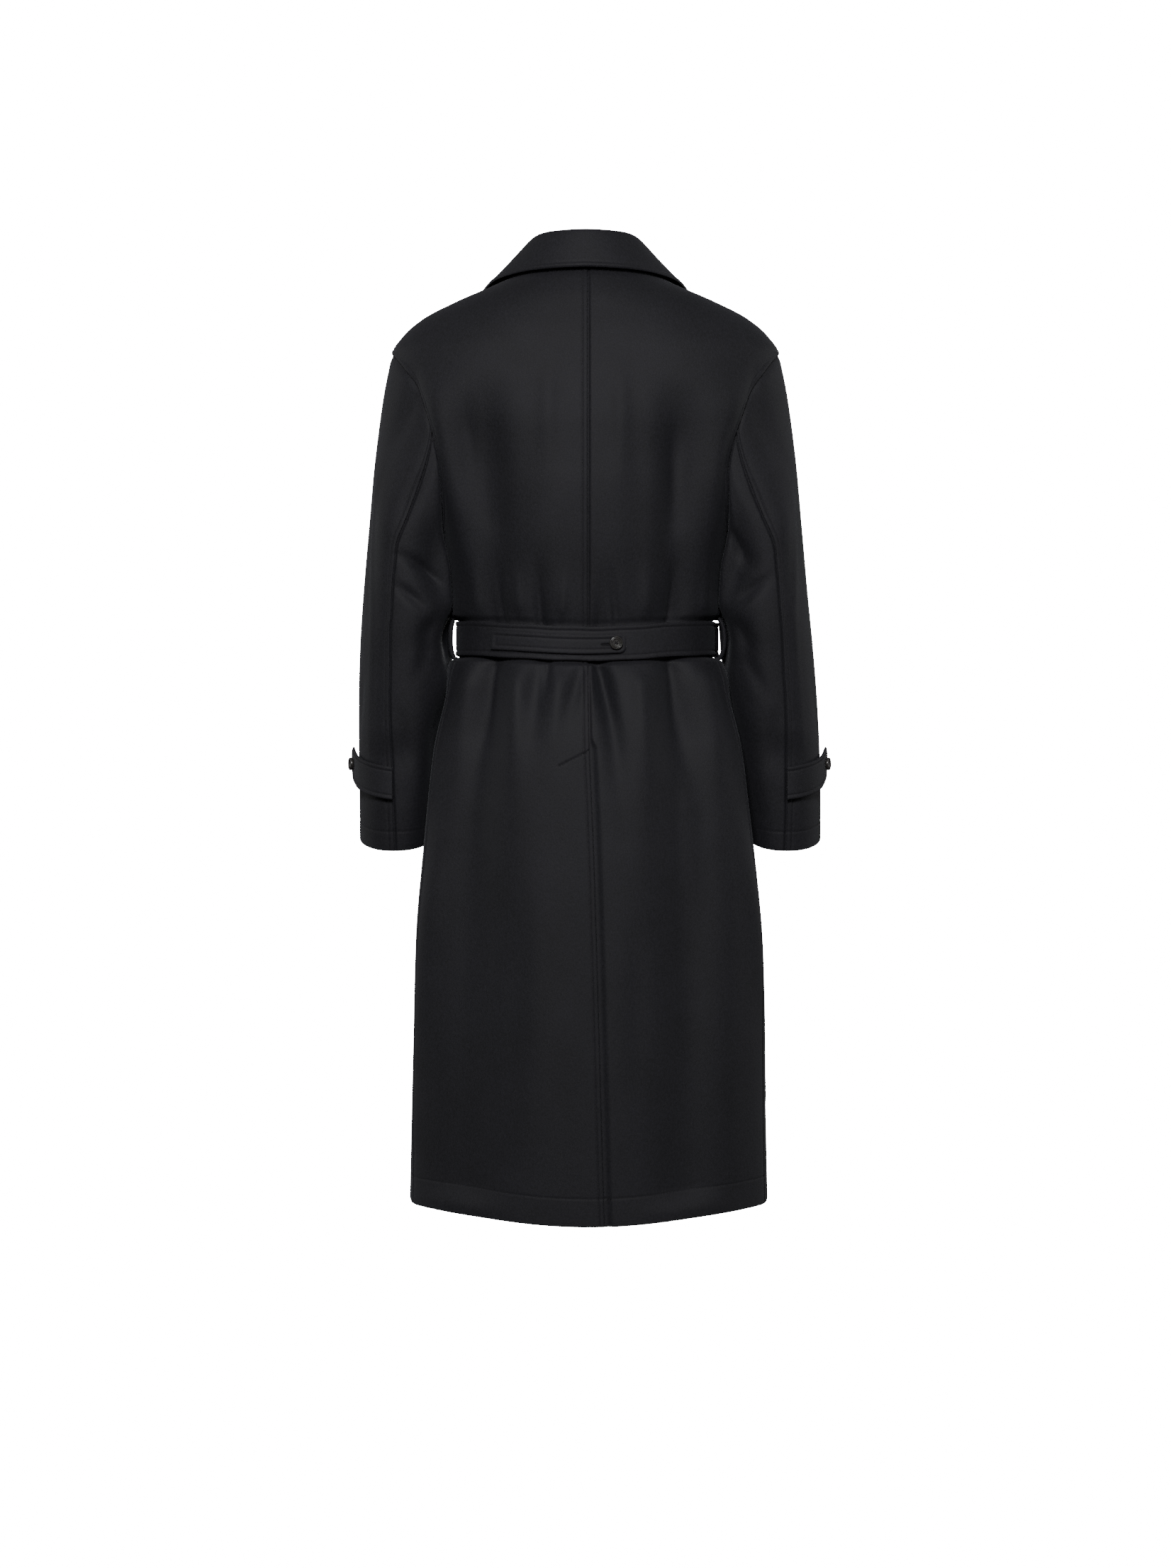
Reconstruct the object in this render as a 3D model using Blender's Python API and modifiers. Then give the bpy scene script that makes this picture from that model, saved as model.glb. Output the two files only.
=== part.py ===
"""A long double-breasted wool coat in its worn, hollow form.

The frame is in metres: +Z up, the front towards -Y, the wearer's left towards +X.
The origin is the middle of the neck's base, where the coat rests on the shoulders.
Every cloth piece is a thin wall through sections that are worked out from the tables below.
Angles called "turn" run round the body: 0 at the centre back, 90 degrees at the
wearer's left side, 180 degrees at the centre front, and negative on the right.
"""

import math
from collections import namedtuple

import bmesh
import bpy
import numpy as np

# Cloth and seams
WALL = 0.0025
DOUBLE_WALL = 0.0032
SEAM_GAP = 0.0003
LAY_GAP = 0.0005
LAP_GAP = 0.0016
LAYER = WALL + LAP_GAP

# Heights of the body's main lines
NECK = 0.012
SHOULDER = -0.098
UNDERARM = -0.330
VENT_TOP = -0.612
HEM = -1.190
HEM_DIP_BACK = 0.021
HEM_DIP_START = -0.80

# The body's horizontal sections, from the neck seam to the hem
BodySection = namedtuple("BodySection", "height half_width back_depth front_depth squareness")
BODY_SECTIONS = [
    BodySection(0.016, 0.068, 0.070, 0.058, 2.0),
    BodySection(0.012, 0.076, 0.074, 0.062, 2.0),
    BodySection(-0.009, 0.119, 0.091, 0.078, 2.0),
    BodySection(-0.031, 0.170, 0.104, 0.089, 2.0),
    BodySection(-0.053, 0.212, 0.112, 0.097, 2.05),
    BodySection(-0.075, 0.237, 0.119, 0.104, 2.15),
    BodySection(-0.098, 0.251, 0.124, 0.110, 2.3),
    BodySection(-0.150, 0.245, 0.132, 0.122, 2.5),
    BodySection(-0.200, 0.223, 0.136, 0.130, 2.7),
    BodySection(-0.260, 0.203, 0.136, 0.132, 2.7),
    BodySection(-0.330, 0.188, 0.131, 0.128, 2.5),
    BodySection(-0.385, 0.179, 0.122, 0.121, 2.35),
    BodySection(-0.436, 0.170, 0.114, 0.114, 2.25),
    BodySection(-0.4445, 0.1638, 0.109, 0.109, 2.2),
    BodySection(-0.4900, 0.1638, 0.109, 0.109, 2.2),
    BodySection(-0.4970, 0.174, 0.117, 0.115, 2.25),
    BodySection(-0.540, 0.187, 0.131, 0.124, 2.35),
    BodySection(-0.610, 0.200, 0.146, 0.134, 2.4),
    BodySection(-0.740, 0.2135, 0.157, 0.144, 2.45),
    BodySection(-0.850, 0.2230, 0.163, 0.150, 2.45),
    BodySection(-1.000, 0.2275, 0.169, 0.155, 2.45),
    BodySection(-1.230, 0.2325, 0.176, 0.162, 2.45),
]
# The coat hangs a little towards the wearer's right below the waist
SWAY = 0.0042
SWAY_FROM = -0.40
SWAY_TO = -0.80

# Heights of the rows of points that the panels need round the waist, and of the plain skirt below
WAIST_ROWS = (-0.358, -0.386, -0.412, -0.436, -0.4445, -0.468, -0.4900, -0.4970, -0.512, -0.536, -0.564)
SHOULDER_ROWS = 5
SKIRT_ROWS = 7
SKIRT_ROWS_FROM = -0.73

# Folds and dents of the body: ridges stand out, troughs have a negative rise.
# Each runs down from top to foot, is deepest at peak, and keeps the share "kept" at its foot.
FOLD_END = 0.03
Fold = namedtuple("Fold", "turn_top turn_foot top peak foot width rise kept")
BODY_FOLDS = [
    # drape of the back over the armholes
    Fold(60, 63, -0.10, -0.24, -0.42, 8, 0.0080, 0.0),
    Fold(-59, -62, -0.10, -0.25, -0.42, 8, 0.0080, 0.0),
    # long soft troughs of the upper back
    Fold(48, 50, -0.12, -0.22, -0.42, 8, -0.0045, 0.2),
    Fold(30, 36, -0.14, -0.30, -0.44, 8, -0.0040, 0.4),
    Fold(-28, -30, -0.14, -0.28, -0.44, 8, -0.0040, 0.4),
    Fold(-47, -50, -0.13, -0.23, -0.42, 8, -0.0045, 0.2),
    # tucks that the belt gathers at the back, above it and below it
    Fold(52, 58, -0.330, -0.446, -0.474, 6, -0.0110, 0.4),
    Fold(25, 28, -0.340, -0.448, -0.476, 5, -0.0070, 0.4),
    Fold(-12, -9, -0.360, -0.448, -0.476, 5, -0.0050, 0.4),
    Fold(-50, -54, -0.330, -0.446, -0.474, 6, -0.0110, 0.4),
    Fold(58, 47, -0.470, -0.512, -0.900, 6, -0.0140, 0.1),
    Fold(28, 26, -0.474, -0.514, -0.640, 5, -0.0080, 0.0),
    Fold(-9, -17, -0.474, -0.516, -0.720, 5, -0.0110, 0.1),
    Fold(-54, -44, -0.470, -0.512, -0.900, 6, -0.0140, 0.1),
    # broad waves of the skirt, down to the hem
    Fold(44, 42, -0.62, -0.90, -1.23, 13, -0.0065, 0.8),
    Fold(-40, -40, -0.62, -0.90, -1.23, 13, -0.0065, 0.8),
    Fold(75, 70, -0.50, -0.62, -1.23, 7, 0.0080, 0.6),
    Fold(-75, -70, -0.50, -0.62, -1.23, 7, 0.0080, 0.6),
    # dents where the sleeves lie against the skirt
    Fold(95, 101, -0.48, -0.58, -0.90, 16, -0.0195, 0.0),
    Fold(-95, -101, -0.48, -0.58, -0.90, 16, -0.0195, 0.0),
    # tucks and waves of the front
    Fold(128, 124, -0.350, -0.446, -0.474, 6, -0.0080, 0.4),
    Fold(-128, -124, -0.350, -0.446, -0.474, 6, -0.0080, 0.4),
    Fold(124, 132, -0.470, -0.514, -0.950, 7, -0.0110, 0.3),
    Fold(-124, -132, -0.470, -0.514, -0.950, 7, -0.0110, 0.3),
]

# Armholes
ARMHOLE_TURN_TOP = math.radians(90)
ARMHOLE_TURN_BOTTOM = math.radians(84)
ARMHOLE_HALF_BACK = math.radians(22)
ARMHOLE_HALF_FRONT = math.radians(26)
ARMHOLE_STEPS = 12
RIDGE_SHARPNESS = 4
# A panel's columns are steady up to its core turn, and the last few are fitted to its outer edge
CORE_TURN_BACK = math.radians(50)
CORE_TURN_FRONT = math.radians(92)
CORE_SHARE = 0.72
EDGE_COLUMNS = 4
SIDE_SEAM_TURN = math.radians(72)
SIDE_SEAM_SETTLES = -0.60

# Double-breasted front
OVERLAP = 0.085
OVERLAP_RAMP_FROM = 0.050
OVERLAP_RAMP = 0.030
LAPEL_BREAK = -0.300
LAPEL_TOP = -0.0555
LAPEL_WIDTH = 0.100
LAPEL_SLOPE = -0.28
LAPEL_ROLL = 0.005
LAPEL_GAP = 0.0013
LAPEL_FOOT = 0.04
LAPEL_CLEAR = 0.02
LAPEL_SPREAD = 0.9
ROLL_AT_NECK = 0.074
# The left front stands off further where the right lapel's foot lies under it
FOOT_LAYERS = 1.4
FOOT_BELOW = 0.075
FOOT_EASE = 0.050

# Centre-back vent
CENTRE_SEAM = 0.003
VENT_DRIFT = 0.017
VENT_UNDERLAP = 0.040
VENT_SLANT = 0.026
VENT_RAMP = 0.012
VENT_CLEAR = 0.002
VENT_FLAT = 0.012
VENT_EASE = 0.016
VENT_COLUMNS_START = 0.35

# Collar, from the centre back to its front end; each end is a mirror of the other
CollarSection = namedtuple(
    "CollarSection", "station base_turn base_height edge_turn edge_height edge_lift fold_height fold_lean")
COLLAR_SECTIONS = [
    CollarSection(0.00, 0, 0.0128, 0, 0.0010, 0.0100, 0.0560, 0.003),
    CollarSection(0.28, 40, 0.0128, 45, -0.0010, 0.0095, 0.0550, 0.006),
    CollarSection(0.45, 70, 0.0128, 73, -0.0050, 0.0085, 0.0520, 0.012),
    CollarSection(0.56, 88, 0.0128, 92, -0.0095, 0.0085, 0.0480, 0.015),
    CollarSection(0.70, 112, 0.0125, 116, -0.0360, 0.0080, 0.0400, 0.004),
    CollarSection(0.85, 160, -0.0180, 125, -0.0640, 0.0080, 0.0060, -0.004),
    CollarSection(1.00, 180, -0.0530, 129, -0.0750, 0.0080, -0.0460, -0.006),
]
COLLAR_FOLD_WEIGHT = 3.0
COLLAR_FROM_ROLL = 0.0018

# Sleeves: horizontal sections of the left one, from the shoulder to the cuff
SleeveSection = namedtuple("SleeveSection", "height outer inner middle half_depth lean")
SLEEVE_SECTIONS = [
    SleeveSection(-0.090, 0.2495, 0.170, 0.000, 0.078, 0.00),
    SleeveSection(-0.153, 0.2622, 0.181, 0.000, 0.085, 0.00),
    SleeveSection(-0.235, 0.2728, 0.191, 0.000, 0.087, 0.00),
    SleeveSection(-0.318, 0.2802, 0.191, 0.000, 0.085, 0.00),
    SleeveSection(-0.385, 0.2862, 0.1815, -0.001, 0.081, 0.02),
    SleeveSection(-0.440, 0.2908, 0.1705, -0.002, 0.078, 0.06),
    SleeveSection(-0.480, 0.2937, 0.1715, -0.005, 0.075, 0.12),
    SleeveSection(-0.540, 0.2965, 0.1800, -0.010, 0.071, 0.20),
    SleeveSection(-0.610, 0.2980, 0.1905, -0.018, 0.068, 0.26),
    SleeveSection(-0.735, 0.2985, 0.2045, -0.036, 0.064, 0.28),
]
# How far each arm swings in (-) or out (+) at the cuff, against the table
SWING_LEFT = -0.0037
SWING_RIGHT = 0.0085
SWING_FROM = -0.38
SWING_TO = -0.70
CUFF = -0.724
CAP_FADE = 0.150
CAP_ROWS = (0.0, 0.03, 0.075, 0.13, 0.19)
ARM_ROWS_FROM = 0.26
ARM_ROWS_TO = 0.94
ARM_ROWS = 12
SLEEVE_RADIUS = 0.05
SLEEVE_SQUARENESS = 2.2
SLEEVE_FOLDS = [
    Fold(120, 150, -0.30, -0.37, -0.43, 16, -0.0060, 0.0),
    Fold(112, 128, -0.42, -0.47, -0.56, 16, -0.0060, 0.0),
    Fold(62, 40, -0.20, -0.33, -0.50, 14, -0.0030, 0.0),
    Fold(168, 168, -0.40, -0.465, -0.53, 20, -0.0100, 0.0),
]
# Angles round a sleeve: 0 at its outer side, 90 at the back, 180 against the body
SleeveSeam = namedtuple("SleeveSeam", "height back front")
SLEEVE_SEAMS = [
    SleeveSeam(-0.09, 105, -120),
    SleeveSeam(-0.26, 90, -120),
    SleeveSeam(-0.36, 76, -120),
    SleeveSeam(-0.48, 66, -120),
    SleeveSeam(-0.74, 68, -120),
]

# Sleeve tabs
# A tab's run is 0 at the back seam, 1 where it leaves the sleeve and 2 at its tip
TAB_HEIGHT = -0.636
TAB_RISE = 0.010
TAB_WIDTH = 0.043
TAB_LEAVES = 28
TAB_FREE_LENGTH = 0.042
TAB_POINT = 0.015
TAB_TIP_SHARE = 0.35
TAB_FREE_CURVE = 0.004
TAB_GAP = 0.0027
TAB_BUTTON = 1.56
TAB_RUNS = (0.0, 0.25, 0.5, 0.75, 1.0, 1.25, 1.5, 2 - TAB_POINT / TAB_FREE_LENGTH, 1.85, 2.0)

# Belt, its buttoned strap and its loops
BELT_HEIGHT = -0.467
BELT_WIDTH = 0.045
BELT_DIP = 0.010
BELT_DIP_SPREAD = 0.08
BELT_THICK = 0.0036
BELT_LAP_FROM = 172
BELT_LAP_TO = 214
BELT_LAP_RAMP_FROM = 158
BELT_LAP_RAMP = 12
BELT_BUTTON_BACK = -0.0375
BELT_BUTTON_FRONT = -0.045
STRAP_FROM = 0.118
STRAP_TO = -0.050
STRAP_WIDTH = 0.025
STRAP_DROP = 0.001
STRAP_CORNER = 0.008
LOOP_WIDTH = 0.011
LOOP_STAND_OFF = 0.0102
LOOP_ROUNDNESS = 0.55
LOOP_SPREAD = 0.35
LOOP_REACH = 0.028
LOOP_TURN = math.radians(86)

# Slanted pocket welts on the fronts
WELT_TOP = -0.572
WELT_LENGTH = 0.165
WELT_WIDTH = 0.034
WELT_TURN_TOP = 93
WELT_TURN_FOOT = 112

# Buttons
SMALL_BUTTON = 0.0168
LARGE_BUTTON = 0.0280
BUTTON_THICK = 0.0042
BUTTON_ROWS = (-0.345, -0.425, -0.600)
BUTTON_COLUMN = 0.062
BUTTON_STEPS = 18
FRONT_BUTTON_GAP = 0.0002
# A button's turned profile, as shares of its radius and its thickness
ButtonPoint = namedtuple("ButtonPoint", "across up")
BUTTON_PROFILE = [
    ButtonPoint(0.0, 0.62),
    ButtonPoint(0.54, 0.62),
    ButtonPoint(0.70, 1.0),
    ButtonPoint(0.90, 1.0),
    ButtonPoint(1.0, 0.55),
    ButtonPoint(0.86, 0.0),
    ButtonPoint(0.0, 0.0),
]

# Colours
BLACK_WOOL = (0.012, 0.012, 0.013)
BLACK_HORN = (0.020, 0.019, 0.018)


# Small helpers for tables, angles and blends

def ease(share):
    """A soft step from 0 to 1."""
    share = np.clip(share, 0.0, 1.0)
    return share * share * (3 - 2 * share)


def unit(vectors):
    """The same vectors at length one."""
    return vectors / np.linalg.norm(vectors, axis=-1, keepdims=True)


def read_column(table, name, at, key="height"):
    """One column of a table at any value of its key, on a smooth curve with no overshoot."""
    rows = sorted(table, key=lambda row: getattr(row, key))
    place = np.array([getattr(row, key) for row in rows], float)
    value = np.array([getattr(row, name) for row in rows], float)
    step = np.diff(place)
    rise = np.diff(value) / step
    total = rise[:-1] + rise[1:]
    turning = rise[:-1] * rise[1:] <= 0
    middle = np.where(turning, 0.0, 2 * rise[:-1] * rise[1:] / np.where(turning, 1.0, total))
    slope = np.concatenate([rise[:1], middle, rise[-1:]])
    at = np.clip(np.asarray(at, float), place[0], place[-1])
    i = np.clip(np.searchsorted(place, at) - 1, 0, len(step) - 1)
    f = (at - place[i]) / step[i]
    start = value[i] * (1 + 2 * f) + slope[i] * step[i] * f
    end = value[i + 1] * (3 - 2 * f) - slope[i + 1] * step[i] * (1 - f)
    return start * (1 - f) ** 2 + end * f ** 2


def fold_rise(folds, turn, height):
    """The sum of all folds at an angle and a height."""
    total = np.zeros(np.broadcast(turn, height).shape)
    for fold in folds:
        along = np.clip((fold.top - height) / (fold.top - fold.foot), 0.0, 1.0)
        centre = np.radians(fold.turn_top + (fold.turn_foot - fold.turn_top) * along)
        grow = ease((fold.top - height) / (fold.top - fold.peak))
        fade = 1 - (1 - fold.kept) * ease((fold.peak - height) / (fold.peak - fold.foot))
        past = (turn - centre + math.pi) % (2 * math.pi) - math.pi
        gone = ease((fold.foot - height) / FOLD_END) if fold.foot > HEM else 0.0
        across = np.exp(-(past / math.radians(fold.width)) ** 2)
        total += fold.rise * grow * fade * (1 - gone) * across
    return total


# The body's surface

def waist_dip(turn, height):
    """The waist lies lower at the back and the front than at the sides, like the belt."""
    return BELT_DIP * np.cos(turn) ** 2 * np.exp(-((height - BELT_HEIGHT) / BELT_DIP_SPREAD) ** 2)


def ring(turn, height):
    """A point of the plain horizontal section, a rounded oblong with a back and a front depth."""
    half_width = read_column(BODY_SECTIONS, "half_width", height)
    back = read_column(BODY_SECTIONS, "back_depth", height)
    front = read_column(BODY_SECTIONS, "front_depth", height)
    power = read_column(BODY_SECTIONS, "squareness", height)
    depth = np.where(np.cos(turn) > 0, back, front)
    reach = np.abs(np.sin(turn) / half_width) ** power + np.abs(np.cos(turn) / depth) ** power
    radius = reach ** (-1 / power)
    return radius * np.sin(turn), radius * np.cos(turn)


def turn_at_width(x, height, front):
    """The angle at which the section passes a given distance from the middle, at the back or the front."""
    half_width = read_column(BODY_SECTIONS, "half_width", height)
    depth = read_column(BODY_SECTIONS, "front_depth" if front else "back_depth", height)
    power = read_column(BODY_SECTIONS, "squareness", height)
    y = depth * np.maximum(1 - np.abs(x / half_width) ** power, 0) ** (1 / power)
    return np.arctan2(x, -y) if front else np.arctan2(x, y)


def sway(height):
    """How far the coat hangs towards the wearer's right."""
    return SWAY * ease((SWAY_FROM - height) / (SWAY_FROM - SWAY_TO))


def body(turn, height, lift=0.0):
    """A point of the coat's outer face, moved out by lift."""
    turn, height = np.broadcast_arrays(np.asarray(turn, float), np.asarray(height, float))
    small = 1e-4
    x, y = ring(turn, height)
    x_on, y_on = ring(turn + small, height)
    x_before, y_before = ring(turn - small, height)
    length = np.hypot(x_on - x_before, y_on - y_before)
    out = fold_rise(BODY_FOLDS, turn, height) + lift
    x = x - out * (y_on - y_before) / length
    y = y + out * (x_on - x_before) / length
    towards_hem = ease((HEM_DIP_START - height) / (HEM_DIP_START - HEM))
    dip = HEM_DIP_BACK * towards_hem * np.maximum(np.cos(turn), 0) ** 2
    return np.stack([x - sway(height), y, height - dip - waist_dip(turn, height)], axis=-1)


def normals(surface, first, second):
    """The unit normal of a surface of two parameters, from small steps along each."""
    small = 2e-4
    along_first = surface(first + small, second) - surface(first - small, second)
    along_second = surface(first, second + small) - surface(first, second - small)
    return unit(np.cross(along_second, along_first))


# Building closed walls

def material(name, colour, roughness):
    made = bpy.data.materials.new(name)
    made.use_nodes = True
    shader = made.node_tree.nodes["Principled BSDF"]
    shader.inputs["Base Color"].default_value = (*colour, 1.0)
    shader.inputs["Roughness"].default_value = roughness
    shader.inputs["Metallic"].default_value = 0.0
    return made


def add_object(name, mesh, finish):
    made = bpy.data.objects.new(name, mesh)
    made.data.materials.append(finish)
    coat.objects.link(made)
    return made


def add_wall(name, outer, inner, finish):
    """A closed wall between two grids of points, lofted row by row and closed round its edge."""
    rows, columns = outer.shape[:2]
    points = np.concatenate([outer.reshape(-1, 3), inner.reshape(-1, 3)])

    def at(layer, row, column):
        return (layer * rows + row) * columns + column

    faces = []
    for row in range(rows - 1):
        for column in range(columns - 1):
            corners = [(row, column), (row, column + 1), (row + 1, column + 1), (row + 1, column)]
            faces.append([at(0, *corner) for corner in corners])
            faces.append([at(1, *corner) for corner in reversed(corners)])
    edge = [(0, column) for column in range(columns - 1)]
    edge += [(row, columns - 1) for row in range(rows - 1)]
    edge += [(rows - 1, column) for column in range(columns - 1, 0, -1)]
    edge += [(row, 0) for row in range(rows - 1, 0, -1)]
    for here, after in zip(edge, edge[1:] + edge[:1]):
        faces.append([at(0, *after), at(0, *here), at(1, *here), at(1, *after)])
    mesh = bpy.data.meshes.new(name)
    mesh.from_pydata(points.tolist(), [], faces)
    editable = bmesh.new()
    editable.from_mesh(mesh)
    bmesh.ops.recalc_face_normals(editable, faces=editable.faces)
    editable.to_mesh(mesh)
    editable.free()
    mesh.shade_smooth()
    mesh.set_sharp_from_angle(angle=math.radians(50))
    return add_object(name, mesh, finish)


# Body panels

def armhole_centre(height):
    share = (SHOULDER - height) / (SHOULDER - UNDERARM)
    return ARMHOLE_TURN_TOP + (ARMHOLE_TURN_BOTTOM - ARMHOLE_TURN_TOP) * np.clip(share, 0, 1)


def armhole_height(angle):
    """Height of the armhole seam at an angle round the sleeve, 0 at the top and pi at the underarm."""
    return (SHOULDER + UNDERARM) / 2 + (SHOULDER - UNDERARM) / 2 * np.cos(angle)


def armhole_turn(angle):
    """Turn of the armhole seam at an angle round the sleeve; positive angles are its back half."""
    half = np.where(np.sin(angle) >= 0, ARMHOLE_HALF_BACK, ARMHOLE_HALF_FRONT)
    return armhole_centre(armhole_height(angle)) - half * np.sin(angle)


def armhole_edge(height, back):
    """The panel's turn at the armhole for heights between the underarm and the shoulder."""
    middle = (SHOULDER + UNDERARM) / 2
    cosine = np.clip((height - middle) / ((SHOULDER - UNDERARM) / 2), -1, 1)
    angle = np.arccos(cosine)
    return armhole_turn(angle if back else -angle)


def side_seam(height):
    share = ease((UNDERARM - height) / (UNDERARM - SIDE_SEAM_SETTLES))
    return ARMHOLE_TURN_BOTTOM + (SIDE_SEAM_TURN - ARMHOLE_TURN_BOTTOM) * share


def outer_edge(height, back):
    """Turn of a panel's outer edge: the shoulder seam, then the armhole, then the side seam."""
    below = side_seam(height)
    beside = armhole_edge(height, back)
    return np.where(height > SHOULDER, ARMHOLE_TURN_TOP, np.where(height < UNDERARM, below, beside))


def panel_heights(top):
    """Heights of a panel's rows: close together at the armhole's ends and near the belt."""
    shoulder_rows = np.linspace(top, SHOULDER, SHOULDER_ROWS + 1)[:-1]
    armhole_rows = armhole_height(np.linspace(0, math.pi, ARMHOLE_STEPS + 1))
    vent_rows = [VENT_TOP + VENT_EASE, VENT_TOP, VENT_TOP - VENT_SLANT]
    skirt_rows = np.linspace(SKIRT_ROWS_FROM, HEM, SKIRT_ROWS)
    return np.concatenate([shoulder_rows, armhole_rows, WAIST_ROWS, vent_rows, skirt_rows])


def seam_step(height):
    """Half the seam gap as an angle."""
    return SEAM_GAP / 2 / read_column(BODY_SECTIONS, "half_width", height)


def vent_edge(height):
    """Distance of the centre seam, and below it of the vent's lapping edge, from the middle."""
    return -CENTRE_SEAM - VENT_DRIFT * np.clip((VENT_TOP - height) / (VENT_TOP - HEM), 0, 1)


def back_middle(height, side):
    """Turn of a back panel's middle edge: the centre seam, then the vent's lap or underlap."""
    under = -CENTRE_SEAM + VENT_UNDERLAP * ease((VENT_TOP - height) / VENT_SLANT)
    x = vent_edge(height) if side > 0 else under
    return turn_at_width(x, height, front=False) + side * seam_step(height) * (height > VENT_TOP - 1e-6)


def vent_lift(turn, height):
    """The right back panel passes under the left one below the vent's top."""
    opened = ease((VENT_TOP + VENT_EASE - height) / VENT_EASE)
    past_edge = ring(turn, height)[0] - vent_edge(height)
    under = ease((past_edge + VENT_RAMP) / (VENT_RAMP - VENT_CLEAR))
    return -LAYER * opened * under * (np.cos(turn) > 0)


def roll_x(height):
    """Distance of the left lapel's fold from the middle, from the side of the neck down to the break."""
    share = np.clip((NECK - height) / (NECK - LAPEL_BREAK), 0, 1)
    return ROLL_AT_NECK - (ROLL_AT_NECK + OVERLAP) * share


def roll_turn(height):
    """Turn of the left lapel's fold."""
    return turn_at_width(roll_x(height), height, front=True) % (2 * math.pi)


def front_middle(height):
    """Turn of a left front's free edge: the lapel's fold above the break, a straight edge below it."""
    straight = turn_at_width(-OVERLAP, height, front=True) % (2 * math.pi)
    return np.where(height > LAPEL_BREAK, roll_turn(height), straight)


def lap_lift(turn, height):
    """The left front lies over the right one, and over the right lapel's foot."""
    layers = 1 + FOOT_LAYERS * ease((height - LAPEL_BREAK + FOOT_BELOW) / FOOT_EASE)
    right_edge = -roll_x(height)
    lapped = ease((right_edge + OVERLAP_RAMP_FROM - ring(turn, height)[0]) / OVERLAP_RAMP)
    return LAYER * layers * lapped * (np.cos(turn) < 0)


def under_lift(turn, height):
    """The right front lies on the body's own surface."""
    return np.zeros(np.broadcast(turn, height).shape)


def armhole_normals(angle, side, first_row):
    """Directions that both walls share where the seam is a ridge, so that their edges don't cross."""
    cloth = normals(body, side * armhole_turn(angle), armhole_height(angle))
    sleeve = first_row["normal"]
    outward = np.sum(first_row["along"] * cloth, axis=-1)
    shared = np.clip(-RIDGE_SHARPNESS * outward, 0, 1)[..., None]
    return unit(cloth + shared * sleeve), unit(sleeve + shared * cloth)


def panel_turns(middle, outside, columns, heights, back, vented):
    """Turns of a panel's columns: steady near its middle, fitted to its outer edge and the vent's step."""
    most = CORE_TURN_BACK if back else CORE_TURN_FRONT
    turning = np.clip(CORE_SHARE * (outside - middle), -most, most)
    core = middle + turning * np.linspace(0, 1, columns - EDGE_COLUMNS)[None, :]
    to_edge = np.linspace(0, 1, EDGE_COLUMNS + 1)[None, 1:]
    even = np.concatenate([core, middle + turning + (outside - middle - turning) * to_edge], axis=1)
    if not vented:
        return even
    step = vent_edge(heights) + np.array([[VENT_FLAT, 0.0, VENT_CLEAR - VENT_RAMP]])
    stepped = turn_at_width(step, heights + 0 * step, front=False)
    onward = np.linspace(0, 1, columns - step.shape[1])[None, 1:]
    below = np.concatenate([middle, stepped, stepped[:, -1:] + (outside - stepped[:, -1:]) * onward], axis=1)
    return even + (below - even) * ease((VENT_TOP - heights) / VENT_SLANT + VENT_COLUMNS_START)


def add_panel(name, side, back, columns, lift, finish):
    """A back or front panel between its middle edge and its outer edge."""
    heights = panel_heights(NECK)[:, None]
    middle = back_middle(heights, side) if back else side * front_middle(heights)
    outside = side * (outer_edge(heights, back) - (1 if back else -1) * seam_step(heights))
    turn = panel_turns(middle, outside, columns, heights, back, vented=back and side < 0)
    height = heights + 0 * turn

    def face(turn, height):
        return body(turn, height, lift(turn, height))

    outer = face(turn, height)
    inward = normals(face, turn, height)
    in_armhole = (heights[:, 0] < SHOULDER + 1e-9) & (heights[:, 0] > UNDERARM - 1e-9)
    cosine = (heights[in_armhole, 0] - armhole_height(math.pi / 2)) / ((SHOULDER - UNDERARM) / 2)
    angle = np.arccos(np.clip(cosine, -1, 1)) * (1 if back else -1)
    inward[in_armhole, -1] = armhole_normals(angle, side, sleeve_first_row(angle, side))[0]
    return add_wall(name, outer, outer - WALL * inward, finish)


# Sleeves

def tube(angle, height, side):
    """A point of the plain sleeve, an upright flattened tube that leans forward below the elbow."""
    outer = read_column(SLEEVE_SECTIONS, "outer", height)
    inner = read_column(SLEEVE_SECTIONS, "inner", height)
    middle = read_column(SLEEVE_SECTIONS, "middle", height)
    half_depth = read_column(SLEEVE_SECTIONS, "half_depth", height)
    lean = read_column(SLEEVE_SECTIONS, "lean", height)
    half_width = (outer - inner) / 2
    swing = SWING_LEFT if side > 0 else SWING_RIGHT
    centre = (outer + inner) / 2 + swing * ease((SWING_FROM - height) / (SWING_FROM - SWING_TO))
    cosine, sine = np.cos(angle), np.sin(angle)
    reach = np.abs(cosine / half_width) ** SLEEVE_SQUARENESS + np.abs(sine / half_depth) ** SLEEVE_SQUARENESS
    radius = reach ** (-1 / SLEEVE_SQUARENESS) + fold_rise(SLEEVE_FOLDS, angle, height)
    y = radius * sine
    return np.stack([centre + radius * cosine, middle + y, height - lean * y], axis=-1)


def sleeve(angle, share, side):
    """A point of the sleeve in left-hand coordinates: share 0 at the armhole seam, 1 at the cuff."""
    angle, share = np.broadcast_arrays(np.asarray(angle, float), np.asarray(share, float))
    top = armhole_height(angle)
    height = top + (CUFF - top) * share
    seam = body(side * armhole_turn((angle + math.pi) % (2 * math.pi) - math.pi), top)
    seam[..., 0] *= side
    left = 1 - ease((top - height) / CAP_FADE)
    return tube(angle, height, side) + (seam - tube(angle, top, side)) * left[..., None]


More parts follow.
